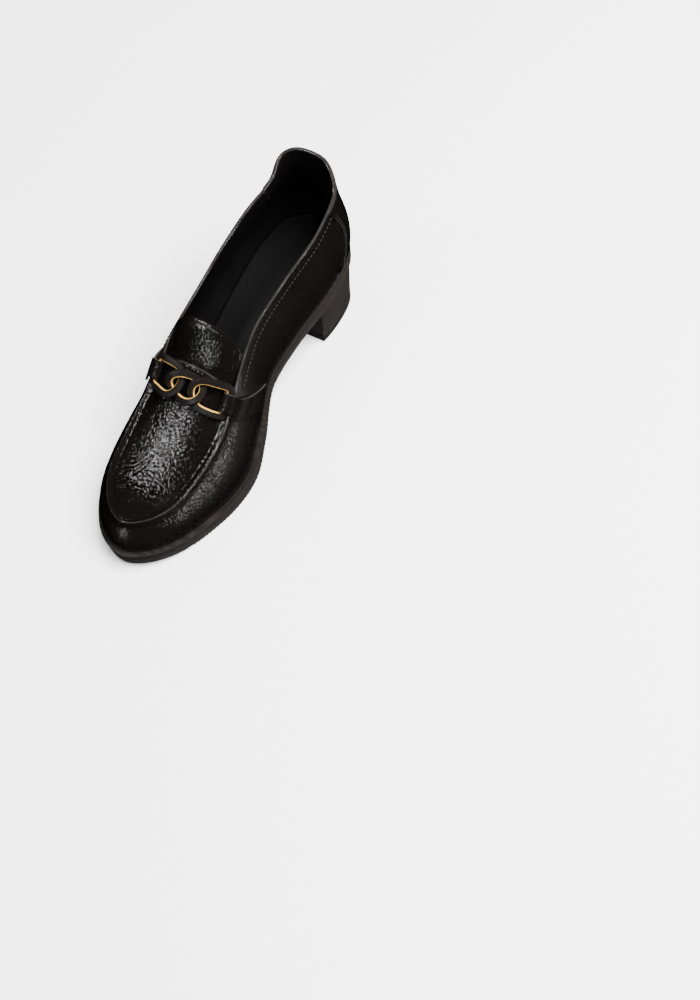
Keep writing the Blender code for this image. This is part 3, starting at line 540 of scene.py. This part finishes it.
class Finish:
    """A material with one Principled shader, whose nodes come from one method."""

    def __init__(self, name, **settings):
        self.material = bpy.data.materials.new(name)
        self.material.use_nodes = True
        self.tree = self.material.node_tree
        self.shader = self.tree.nodes["Principled BSDF"]
        for key, value in settings.items():
            self.shader.inputs[key.replace("_", " ")].default_value = value
        self.place = self.add("ShaderNodeTexCoord", output="Object")

    def feed(self, socket, value):
        if isinstance(value, Value):
            self.tree.links.new(value.socket, socket)
        else:
            socket.default_value = value

    def add(self, kind, settings=None, inputs=None, output=0):
        node = self.tree.nodes.new(kind)
        for key, value in (settings or {}).items():
            setattr(node, key, value)
        for key, value in (inputs or {}).items():
            self.feed(node.inputs[key], value)
        return Value(self, node.outputs[output])

    def give(self, **values):
        for key, value in values.items():
            self.feed(self.shader.inputs[key.replace("_", " ")], value)

    def noise(self, scale, detail=2.0, roughness=0.5):
        return self.add("ShaderNodeTexNoise", None, {
            "Vector": self.place, "Scale": scale, "Detail": detail, "Roughness": roughness,
        })

    def bump(self, height, strength, depth):
        """Relief of a real depth in metres, as the finish's own small-scale shape."""
        self.give(Normal=self.add("ShaderNodeBump", None, {
            "Height": height, "Strength": strength, "Distance": depth,
        }))

    def mix(self, factor, low, high):
        return self.add("ShaderNodeMix", {"data_type": "RGBA"}, {
            "Factor": factor, MIX_FROM: (*low, 1.0), MIX_TO: (*high, 1.0),
        }, output=MIX_RESULT)


def grain_of(finish, size):
    """Crinkled grain: rounded cells of one size, broken up by a finer noise."""
    warp = finish.noise(0.35 / size, 2.0)
    place = finish.add("ShaderNodeVectorMath", {"operation": "MULTIPLY_ADD"}, {
        0: warp, 1: (size * 1.6,) * 3, 2: finish.place,
    })
    cells = finish.add("ShaderNodeTexVoronoi", {"feature": "SMOOTH_F1"}, {
        "Vector": place, "Scale": 1.0 / size, "Smoothness": 0.55,
    })
    return cells * 0.75 + finish.noise(0.9 / size, 3.0, 0.6) * 0.8


def patent_leather():
    finish = Finish("crinkled patent leather", Specular_IOR_Level=0.75)
    grain = grain_of(finish, 0.00145)
    patches = finish.noise(28.0, 2.0)
    finish.give(Base_Color=finish.mix(patches, (0.0016, 0.0013, 0.0012), (0.0036, 0.0029, 0.0027)))
    finish.give(Roughness=0.12 + patches * 0.10)
    finish.bump(grain + finish.noise(90.0, 2.0) * 0.8, 0.8, 0.00036)
    return finish.material


# Smooth patent for the beads, the cut rims and the seam crest. Its base colour is several times
# lighter than the crinkled patent's: a painted highlight for the bright lines along these edges.
def smooth_patent_painted_sheen():
    finish = Finish("smooth patent edge, painted sheen", Coat_Weight=0.5, Coat_Roughness=0.05)
    painted_sheen_mottle = finish.noise(120.0, 2.0)
    # Base colour mottled by noise between two lighter greys: painted sheen, not the leather's own
    # tone.
    finish.give(Base_Color=finish.mix(painted_sheen_mottle, (0.005, 0.004, 0.004), (0.022, 0.020, 0.019)))
    finish.give(Roughness=0.14 + painted_sheen_mottle * 0.10)
    finish.bump(finish.noise(900.0, 2.0), 0.15, 0.0001)
    return finish.material


def lining_leather():
    finish = Finish("black lining", Specular_IOR_Level=0.25)
    cloud = finish.noise(35.0, 3.0)
    finish.give(Base_Color=finish.mix(cloud, (0.0018, 0.0017, 0.0018), (0.0042, 0.0040, 0.0042)))
    finish.give(Roughness=0.58 + cloud * 0.14)
    finish.bump(grain_of(finish, 0.0006), 0.22, 0.00008)
    return finish.material


def insole_leather():
    finish = Finish("black insole", Specular_IOR_Level=0.3)
    cloud = finish.noise(22.0, 3.0)
    finish.give(Base_Color=finish.mix(cloud, (0.0022, 0.0020, 0.0021), (0.0052, 0.0049, 0.0050)))
    finish.give(Roughness=0.50 + cloud * 0.16)
    finish.bump(grain_of(finish, 0.0008), 0.25, 0.00010)
    return finish.material


def sole_rubber(name, low, high, lines):
    """Sole rubber with fine level lines, as an extruded or stacked edge has."""
    finish = Finish(name, Specular_IOR_Level=0.35)
    mottle = finish.noise(60.0, 3.0)
    layers = finish.add("ShaderNodeTexWave", {"bands_direction": "Z"}, {
        "Vector": finish.place, "Scale": lines, "Distortion": 0.6, "Detail": 1.0,
    }, output=1)
    finish.give(Base_Color=finish.mix(mottle * 0.35 + layers * 0.55, low, high))
    finish.give(Roughness=0.42 + mottle * 0.18)
    finish.bump(layers * 0.8 + finish.noise(1400.0, 2.0) * 0.2, 0.9, 0.00035)
    return finish.material


def coated_metal():
    finish = Finish("matte brown coated metal", Specular_IOR_Level=0.5)
    cloud = finish.noise(140.0, 2.0)
    finish.give(Base_Color=finish.mix(cloud, (0.0030, 0.0025, 0.0023), (0.0065, 0.0052, 0.0046)))
    finish.give(Roughness=0.40 + cloud * 0.12)
    finish.bump(finish.noise(1600.0, 2.0), 0.12, 0.00005)
    return finish.material


def gilt_metal():
    finish = Finish("gilt edge line", Metallic=0.45)
    cloud = finish.noise(160.0, 2.0)
    finish.give(Base_Color=finish.mix(cloud, (0.66, 0.36, 0.075), (0.90, 0.56, 0.15)))
    finish.give(Roughness=0.30 + cloud * 0.14)
    return finish.material


def cut_edge():
    finish = Finish("painted cut edge")
    cloud = finish.noise(500.0, 2.0)
    finish.give(Base_Color=finish.mix(cloud, (0.014, 0.012, 0.011), (0.045, 0.041, 0.038)))
    finish.give(Roughness=0.35 + cloud * 0.2)
    return finish.material


def waxed_thread():
    finish = Finish("black waxed thread")
    strand = finish.noise(2600.0, 1.0)
    finish.give(Base_Color=finish.mix(strand, (0.010, 0.009, 0.009), (0.030, 0.028, 0.027)))
    finish.give(Roughness=0.26 + strand * 0.16)
    return finish.material


def studio_floor():
    finish = Finish("pale studio floor", Roughness=0.9, Specular_IOR_Level=0.1)
    cloud = finish.noise(3.0, 1.0)
    finish.give(Base_Color=finish.mix(cloud, (0.86, 0.86, 0.87), (0.88, 0.88, 0.89)))
    return finish.material


PATENT = patent_leather()
PAINTED_SHEEN_PATENT = smooth_patent_painted_sheen()
LINING = lining_leather()
INSOLE = insole_leather()
WELT_RUBBER = sole_rubber("welt rubber", (0.0055, 0.0048, 0.0044), (0.014, 0.012, 0.011), 300.0)
SOLE_RUBBER = sole_rubber("sole rubber", (0.010, 0.0085, 0.0075), (0.019, 0.016, 0.0142), 300.0)
HEEL_RUBBER = sole_rubber("heel stack", (0.0065, 0.0054, 0.0049), (0.019, 0.0158, 0.0140), 240.0)
METAL = coated_metal()
GILT = gilt_metal()
CUT_EDGE = cut_edge()
THREAD = waxed_thread()


def sheet(table, painted=None):
    """A grid laid over a table of points, with its front where columns turn towards rows."""
    rows, columns = table.shape[:2]
    bm = bmesh.new()
    bmesh.ops.create_grid(bm, x_segments=columns - 1, y_segments=rows - 1, size=0.5)
    if painted:
        for face in bm.faces:
            centre = face.calc_center_median()
            face.material_index = painted(centre.x + 0.5, centre.y + 0.5)
    flat = table - ROW_SHIFT
    for vert in bm.verts:
        i, j = round((vert.co.y + 0.5) * (rows - 1)), round((vert.co.x + 0.5) * (columns - 1))
        vert.co = flat[i, j]
    return bm


def joined(first, *others):
    for other in others:
        mesh = bpy.data.meshes.new("joining")
        other.to_mesh(mesh)
        other.free()
        first.from_mesh(mesh)
        bpy.data.meshes.remove(mesh)
    return first


def make_piece(name, bm, materials, nodes=(), sharp=60, closed=False):
    """Turns a mesh into a piece that rides on the shoe and takes the place of its nodes."""
    bmesh.ops.remove_doubles(bm, verts=bm.verts, dist=0.00002)
    if closed:
        bmesh.ops.recalc_face_normals(bm, faces=bm.faces)
    mesh = bpy.data.meshes.new(name)
    bm.to_mesh(mesh)
    bm.free()
    mesh.shade_smooth()
    mesh.set_sharp_from_angle(angle=math.radians(sharp))
    for material in materials:
        mesh.materials.append(material)
    piece = bpy.data.objects.new(name, mesh)
    bpy.context.scene.collection.objects.link(piece)
    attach(piece, "root")
    if nodes:
        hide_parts(*nodes)
    return piece


def give_wall(piece, thickness, offset, inside=0, rim=0):
    wall = piece.modifiers.new("wall", "SOLIDIFY")
    wall.thickness = thickness
    wall.offset = offset
    wall.material_offset = inside
    wall.material_offset_rim = rim


def fade(value, low, high):
    share = np.clip((value - low) / (high - low), 0.0, 1.0)
    return share * share * (3 - 2 * share)


def ahead(s):
    """Metres along the edge past the throat, negative behind it, for outline shares."""
    s = s % 1.0
    left = s - THROAT_S[+1]
    right = THROAT_S[-1] - s
    return np.where(s < OUTLINE.toe, left, right) * OUTLINE.total


def wall_arc(s):
    """Length of the wall from its foot to its rail at each outline share."""
    levels = np.linspace(0.0, 1.0, 13)[:, None]
    line = wall_point(s[None, :] + levels * 0, levels + s[None, :] * 0)
    return np.linalg.norm(np.diff(line, axis=0), axis=-1).sum(axis=0)


def ridge(away, width):
    return np.exp(-((away / width) ** 2))


def counter_lift(s, t):
    """The counter's raised panel with a groove along its bowed front edge."""
    lift = np.zeros(np.broadcast(s, t).shape)
    within = np.ones_like(lift)
    for side, edge in COUNTER_S.items():
        line = edge - side * COUNTER_BOW * np.sin(np.pi * t) / OUTLINE.total
        away = ((line - s + 0.5) % 1.0 - 0.5) * side * OUTLINE.total
        near = np.abs((s - edge + 0.5) % 1.0 - 0.5) < 0.2
        within = np.where(near, within * fade(away, -0.0003, 0.0005), within)
        lift -= np.where(near, GROOVE_DEPTH * ridge(away + GROOVE_WIDTH, GROOVE_WIDTH), 0.0)
    behind = COUNTER_RAISE * within * (ahead(s) < -0.05)
    return lift + behind


def side_normal(s):
    """The plug's normal at the rail of each outline share."""
    side = np.where(s % 1.0 < OUTLINE.toe, 1, -1)
    throat = np.where(side > 0, THROAT_S[+1], THROAT_S[-1])
    g = np.clip((s % 1.0 - throat) / (OUTLINE.toe - throat), 0.0, 1.0)
    left, right = plug_normal(g, 0.98), plug_normal(g, -0.98)
    return np.where(side[:, None] > 0, left, right)


def upper_wall():
    throat_left, throat_right = THROAT_S[+1], THROAT_S[-1] - 1.0
    grid = np.linspace(throat_left, throat_right, 2000)
    near = sum(
        ridge(((grid - edge + 0.5) % 1.0 - 0.5) * OUTLINE.total, COUNTER_DENSE)
        for edge in COUNTER_S.values()
    )
    dense = np.cumsum(1.0 + 2.2 * near)
    dense = (dense - dense[0]) / (dense[-1] - dense[0])
    rear = np.interp(np.linspace(0, 1, REAR_COLUMNS + 1), dense, grid)
    steps = np.linspace(0, 1, FRONT_COLUMNS + 1)
    right = THROAT_S[-1] + steps[1:] * (OUTLINE.toe - THROAT_S[-1]) - 1.0
    left = THROAT_S[+1] + steps[::-1][1:] * (OUTLINE.toe - THROAT_S[+1]) - 1.0
    s = np.concatenate([rear, right, left])
    t = 1 - (1 - np.linspace(0, 1, WALL_LEVELS + 1)) ** 1.5
    share, level = np.meshgrid(s, t)
    base = wall_point(share % 1.0, level)
    normal = wall_normal(share % 1.0, level)
    away = (1 - level) * wall_arc(s)[None, :]
    front = fade(ahead(s), 0.0, 0.006)[None, :]
    turn = ridge(away, 0.0022) * (ahead(s) >= -1e-9)[None, :]
    tilted = normal * (1 - turn / 2)[..., None] + side_normal(s)[None] * (turn / 2)[..., None]
    lift = counter_lift(share % 1.0, level) + RIDGE_HEIGHT * front * ridge(away, RIDGE_OUTER)
    lift = lift * fade(level, 0.0, 0.03)
    return base + unit(tilted) * lift[..., None]


def upper_plug():
    g = np.linspace(0, 1, FRONT_COLUMNS + 1)
    w = np.sin(np.linspace(-0.5, 0.5, PLUG_LEVELS + 1) * np.pi)
    along, across = np.meshgrid(g, w)
    base = plug_point(along, across)
    normal = plug_normal(along, across)
    half = np.linalg.norm(plug_point(g, 1.0) - plug_point(g, -1.0), axis=-1) / 2
    away = (1 - np.abs(across)) * half[None, :]
    front = np.where(
        across > 0,
        fade(g * (OUTLINE.toe - THROAT_S[+1]) * OUTLINE.total, 0.0, 0.006)[None, :],
        fade(g * (THROAT_S[-1] - OUTLINE.toe) * OUTLINE.total, 0.0, 0.006)[None, :],
    )
    wall = {side: wall_normal(rail_s(g, side), 1.0) for side in (+1, -1)}
    beside = np.where(across[..., None] > 0, wall[+1][None], wall[-1][None])
    turn = ridge(away, 0.0018)[..., None] / 2
    lift = RIDGE_HEIGHT * front * ridge(away, RIDGE_INNER)
    lift = lift - PLUG_GROOVE_DEPTH * front * ridge(away - PLUG_GROOVE_IN, 0.0007)
    return base + unit(normal * (1 - turn) + beside * turn) * lift[..., None]


def make_upper():
    columns = REAR_COLUMNS + 2 * FRONT_COLUMNS
    bm = joined(
        # Faces along the moccasin seam's crest, on the front wall and the plug's rims, take the
        # lighter smooth patent: a painted highlight band along the seam ridge.
        sheet(upper_wall(),
              lambda u, v: 2 if u * columns > REAR_COLUMNS + 5 and v > CREST_FROM else 0),
        sheet(upper_plug(), lambda u, v: 2 if abs(2 * v - 1) > 0.955 and u > 0.04 else 0),
    )
    piece = make_piece("patent_upper", bm, [PATENT, LINING, PAINTED_SHEEN_PATENT], ["upper"])
    # The cut rim takes the lighter smooth patent too, a painted highlight along the topline's edge.
    give_wall(piece, WALL, -1.0, inside=1, rim=2)


def tube(path, sides, radius, steps=10):
    """A closed round bead along a path: sides holds one direction across it for each point."""
    run = unit(np.gradient(path, axis=0))
    across = unit(sides - run * np.sum(sides * run, axis=1, keepdims=True))
    other = np.cross(run, across)
    turn = np.linspace(0, 2 * math.pi, steps + 1)
    taper = np.sqrt(np.clip(np.minimum(np.arange(len(path)), np.arange(len(path))[::-1]) / 3, 0, 1))
    rings = [
        path + (across * math.cos(a) + other * math.sin(a)) * radius * taper[:, None] for a in turn
    ]
    return sheet(np.stack(rings))


def topline(inset=0.0):
    """Points and normals along the topline from the left throat to the right one."""
    s = np.linspace(THROAT_S[+1], THROAT_S[-1] - 1.0, 420)
    level = 1 - inset / wall_arc(s)
    return wall_point(s % 1.0, level), wall_normal(s % 1.0, level)


def make_bead():
    points, normals = topline()
    # The beads take the lighter smooth patent, whose colour is a painted highlight along the topline
    # and the throat.
    bm = tube(points - normals * WALL / 2 + (0, 0, 0.0002), normals, BEAD_RADIUS)
    make_piece("topline_bead", bm, [PAINTED_SHEEN_PATENT], closed=True)
    edge = plug_point(0.0, np.linspace(-1, 1, 90))
    normal = plug_normal(0.0, np.linspace(-1, 1, 90))
    bm = tube(edge - normal * WALL / 2, normal, BEAD_RADIUS * 0.95)
    make_piece("throat_bead", bm, [PAINTED_SHEEN_PATENT], closed=True)


def stitch_row(points, normals, pitch=STITCH_PITCH):
    """Short raised stitches along a line on a surface."""
    reach = np.concatenate([[0], np.cumsum(np.linalg.norm(np.diff(points, axis=0), axis=1))])
    places = np.arange(pitch, reach[-1] - pitch / 2, pitch)
    centre = np.stack([np.interp(places, reach, points[:, k]) for k in range(3)], -1)
    normal = unit(np.stack([np.interp(places, reach, normals[:, k]) for k in range(3)], -1))
    ahead_by = np.stack([np.interp(places + 0.0005, reach, points[:, k]) for k in range(3)], -1)
    bm = bmesh.new()
    for middle, up, further in zip(centre - ROW_SHIFT, normal, ahead_by - ROW_SHIFT):
        run = unit(further - middle)
        across = np.cross(up, run)
        axes = [run * STITCH_LENGTH / 2, across * STITCH_RADIUS, up * STITCH_RADIUS]
        turn = Matrix(np.array(axes).T.tolist())
        place = Matrix.Translation(Vector(middle + up * STITCH_RADIUS * 0.4)) @ turn.to_4x4()
        bmesh.ops.create_uvsphere(bm, u_segments=6, v_segments=5, radius=1.0, matrix=place)
    return bm


def make_stitches():
    points, normals = topline(TOPLINE_STITCH_INSET)
    keep = slice(8, -8)
    rows = [stitch_row((points + normals * 0.0001)[keep], normals[keep])]
    t = np.linspace(0.06, 0.90, 80)
    for side, edge in COUNTER_S.items():
        for inside in COUNTER_STITCH_INSETS:
            s = edge - side * (COUNTER_BOW * np.sin(np.pi * t) + inside) / OUTLINE.total
            normal = wall_normal(s % 1.0, t)
            rows.append(stitch_row(wall_point(s % 1.0, t) + normal * COUNTER_RAISE, normal))
    make_piece("upper_stitches", joined(*rows), [THREAD])


def make_tongue():
    q = np.linspace(0, 1, 60)
    w = np.sin(np.linspace(-0.5, 0.5, 61) * np.pi)
    table = np.array([[tongue_point(a, b) for a in q] for b in w])
    normal = unit(np.cross(np.gradient(table, axis=0), np.gradient(table, axis=1)))
    if normal[30, 30, 2] < 0:
        normal = -normal
    half = np.linalg.norm(table[-1] - table[0], axis=-1).mean() / 2
    to_side = (1 - np.abs(w))[:, None] * half
    to_tip = (1 - q)[None, :] * (TONGUE_ROOT_AT - TONGUE_TIP_AT) * 1.3
    away = np.minimum(to_side + 0 * to_tip, to_tip + 0 * to_side)
    lift = -TONGUE_GROOVE_DEPTH * ridge(away - TONGUE_GROOVE_IN, 0.0006) - 0.0002 * ridge(away, 0.0010)
    table = table + normal * lift[..., None]
    bm = sheet(table[:, ::-1])
    piece = make_piece("tongue_leather", bm, [PATENT, LINING, PAINTED_SHEEN_PATENT], ["tongue"])
    # The tongue's cut rim takes the lighter smooth patent, a painted highlight along its edge.
    give_wall(piece, TONGUE_THICKNESS * 0.9, -1.0, inside=1, rim=2)


def between_edges(further, count_x, count_y):
    """A table of points inside the feather line: rows across, columns from back to toe."""
    line = lambda s: OUTLINE.feather(s, further)
    g = (1 - np.cos(np.linspace(0, math.pi, count_x))) / 2
    xs = line(OUTLINE.toe * g)[:, 0]
    xs[0] += 0.0002
    xs[-1] -= 0.0002
    ends = [line(OUTLINE.find(xs, side, line))[:, 1] for side in (-1, +1)]
    v = np.linspace(0, 1, count_y)[:, None]
    y = ends[0][None] * (1 - v) + ends[1][None] * v
    return np.broadcast_to(xs[None], y.shape), y, np.broadcast_to(2 * v - 1, y.shape)


def make_insole():
    x, y, across = between_edges(WALL + INSOLE_EDGE_GAP, 110, 25)
    z = feather_z(x) + CLEARANCE + INSOLE_THICKNESS - 0.0004 + INSOLE_LIP * np.abs(across) ** 6
    bm = sheet(np.stack([x, y, z], -1))
    piece = make_piece("insole_cover", bm, [INSOLE], ["insole"])
    give_wall(piece, INSOLE_THICKNESS - 0.0006, -1.0)


def make_welt():
    """The welt's rim swept round the outline, with a groove along its side."""
    s = np.linspace(0, 1, 461)
    rows = []
    for inset, height in WELT_SECTION:
        plan = OUTLINE.inset(s, inset)
        z = feather_z(plan[:, 0]) - WELT_THICKNESS + height
        rows.append(np.column_stack([plan, z]))
    bm = sheet(np.stack(rows))
    make_piece("welt_rim", bm, [WELT_RUBBER], ["welt"], sharp=50, closed=True)


def link_section(turns=5):
    """The band's cross section with rounded edges, from the inner top edge round."""
    wide, high, round_by = LINK_WIDTH / 2, LINK_HEIGHT / 2, LINK_CHAMFER
    section = []
    for k, (a, b) in enumerate(((-1, 1), (1, 1), (1, -1), (-1, -1))):
        for j in range(turns + 1):
            angle = math.pi - math.pi / 2 * (k + j / turns)
            section.append((
                a * (wide - round_by) + round_by * math.cos(angle),
                b * (high - round_by) + round_by * math.sin(angle),
            ))
    section.append(section[0])
    return section


def make_link(name, node, path):
    points = np.array([CHAIN.place(*path(k / LINK_STEPS)) for k in range(LINK_STEPS)])
    for _ in range(3):
        points = (np.roll(points, 1, 0) + 2 * points + np.roll(points, -1, 0)) / 4
    middle = points.mean(axis=0)
    run = unit(np.roll(points, -2, 0) - np.roll(points, 2, 0))
    lift = np.cross(run, points - middle)
    lift = unit(np.where((lift @ CHAIN.off)[:, None] > 0, lift, -lift))
    outward = unit(np.cross(lift, run))
    outward = np.where(np.sum(outward * (points - middle), 1)[:, None] > 0, outward, -outward)
    rows = [points + outward * a + lift * b for a, b in link_section()]
    table = np.stack(rows)
    table = np.concatenate([table, table[:, :1]], axis=1)
    count = len(rows) - 1
    bm = sheet(table, lambda u, v: 1 if 0 < v * count < 3.9 else 0)
    make_piece(name, bm, [METAL, GILT], [node], sharp=80, closed=True)


def make_chain():
    make_link("oval_link", "chain_oval", oval_path)
    for side, word in ((+1, "left"), (-1, "right")):
        make_link("buckle_link_" + word, "chain_buckle_" + word,
                  lambda step, side=side: buckle_path(step, side))


def strap_line(side, place):
    """The middle line of a strap tab at one place across it, from its root round the bar."""
    bar_across, _, bar_off = buckle_place(side, BUCKLE_INNER_AT + BUCKLE_LENGTH, 0.0)
    loop = [buckle_path(k / BAR_STEPS, side) for k in range(BAR_STEPS)]
    mid_across, _, mid_off = np.mean(loop, axis=0)
    tilt = math.atan2(mid_off - bar_off, abs(bar_across - mid_across))
    radius = LINK_WIDTH / 2 + CLEARANCE * 1.5 + STRAP_THICKNESS / 2
    rise = LINK_HEIGHT / 2 + CLEARANCE * 1.5 + STRAP_THICKNESS / 2

    def round_bar(across, off):
        return (
            abs(bar_across) + across * math.cos(tilt) + off * math.sin(tilt),
            bar_off - across * math.sin(tilt) + off * math.cos(tilt),
        )

    turn = [
        round_bar(radius * 0.75, rise), round_bar(-radius * 0.55, rise),
        round_bar(-radius * 0.92, rise * 0.62), round_bar(-radius * 1.05, 0.0),
        round_bar(-radius * 1.02, -rise * 0.35),
    ]
    clear = turn[0][0] + STRAP_THICKNESS
    path = []
    for m in STRAP_ROOT_AT * np.linspace(1.0, 0.0, STRAP_STEPS):
        here = skin(side, m, CHAIN.origin[0])[1]
        if np.dot(here - CHAIN.origin, CHAIN.across) * side <= clear:
            continue
        width = STRAP_WIDTH_AT_BAR + (STRAP_WIDTH_AT_ROOT - STRAP_WIDTH_AT_BAR) * (
            m / STRAP_ROOT_AT) ** 1.5
        middle = CHAIN.origin[0] - STRAP_LEAN * m / STRAP_ROOT_AT
        k, point = skin(side, m, middle - place * width / 2)
        s = THROAT_S[side] + k * (OUTLINE.toe - THROAT_S[side])
        normal = wall_normal(s, 1 - m) if m > 0 else rail_normal(k, side)
        near = max(0.0, 1 - m / (STRAP_ROOT_AT * 0.45))
        lift = CLEARANCE * 1.5 + STRAP_THICKNESS / 2 + SEAM_RAISE * 1.35 * near**0.5
        path.append(point + normal * lift)
    for across, off in turn:
        path.append(CHAIN.place(side * across, place * STRAP_WIDTH_AT_BAR / 2, off))
    return np.array(path)


def smoothed(line, count):
    """A smooth run of points through the given ones."""
    reach = np.concatenate([[0], np.cumsum(np.linalg.norm(np.diff(line, axis=0), axis=1))])
    rows = [
        [Row(a, b) for a, b in zip(reach, line[:, k])] for k in range(3)
    ]
    places = np.linspace(0, reach[-1], count)
    return np.stack([Curve(row)(places) for row in rows], -1)


def make_strap(side, word):
    places = np.linspace(-1, 1, 13)
    table = np.stack([smoothed(strap_line(side, place), 90) for place in places])
    if side < 0:
        table = table[::-1]
    piece = make_piece(
        "strap_tab_" + word, sheet(table), [PATENT, CUT_EDGE], ["strap_" + word])
    give_wall(piece, STRAP_THICKNESS, 0.0, rim=1)
    over = unit(np.cross(np.gradient(table, axis=1), np.gradient(table, axis=0)))
    rows = []
    for j in (1, 11):
        line, normal = table[j, 4:52], over[j, 4:52]
        rows.append(stitch_row(line + normal * (STRAP_THICKNESS / 2), normal, STRAP_STITCH_PITCH))
    make_piece("strap_stitches_" + word, joined(*rows), [THREAD])


def dress_cad_nodes():
    """The solids whose own shape is right keep it and take the shoe's finishes."""
    finishes = {"outsole": SOLE_RUBBER, "heel_block": HEEL_RUBBER, "top_lift": WELT_RUBBER}
    for node, material in finishes.items():
        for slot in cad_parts[node].material_slots:
            slot.material = material


def make_studio():
    bm = bmesh.new()
    bmesh.ops.create_grid(bm, x_segments=1, y_segments=1, size=FLOOR_REACH)
    mesh = bpy.data.meshes.new("studio_floor")
    bm.to_mesh(mesh)
    bm.free()
    mesh.materials.append(studio_floor())
    floor = bpy.data.objects.new("studio_floor", mesh)
    bpy.context.scene.collection.objects.link(floor)
    floor.visible_glossy = False
    world = bpy.data.worlds.new("studio")
    bpy.context.scene.world = world
    world.use_nodes = True
    background = world.node_tree.nodes["Background"]
    background.inputs["Color"].default_value = (1.0, 1.0, 1.0, 1.0)
    background.inputs["Strength"].default_value = WORLD_STRENGTH
    world.cycles_visibility.glossy = False
    for name, towards, away, width, height, power, mirrored in LIGHTS:
        light = bpy.data.lights.new(name, "AREA")
        light.shape = "RECTANGLE"
        light.size, light.size_y, light.energy = width, height, power
        lamp = bpy.data.objects.new(name, light)
        lamp.visible_glossy = mirrored
        middle = Vector(LIGHTS_AIM)
        lamp.location = middle + Vector(towards).normalized() * away
        lamp.rotation_euler = (middle - lamp.location).to_track_quat("-Z", "Y").to_euler()
        bpy.context.scene.collection.objects.link(lamp)


def make_camera():
    lens = bpy.data.cameras.new("photo view")
    lens.lens = VIEW_LENS
    lens.sensor_width = VIEW_SENSOR
    camera = bpy.data.objects.new("photo view", lens)
    forward = Vector(VIEW_ALONG).normalized()
    right = forward.cross(Vector(VIEW_UP)).normalized()
    up = right.cross(forward)
    turn = Matrix((right, up, -forward)).transposed().to_4x4()
    camera.matrix_world = Matrix.Translation(Vector(VIEW_FROM)) @ turn
    bpy.context.scene.collection.objects.link(camera)
    bpy.context.scene.camera = camera


make_upper()
make_bead()
make_stitches()
make_tongue()
make_insole()
make_welt()
make_chain()
make_strap(+1, "left")
make_strap(-1, "right")
dress_cad_nodes()
make_studio()
make_camera()
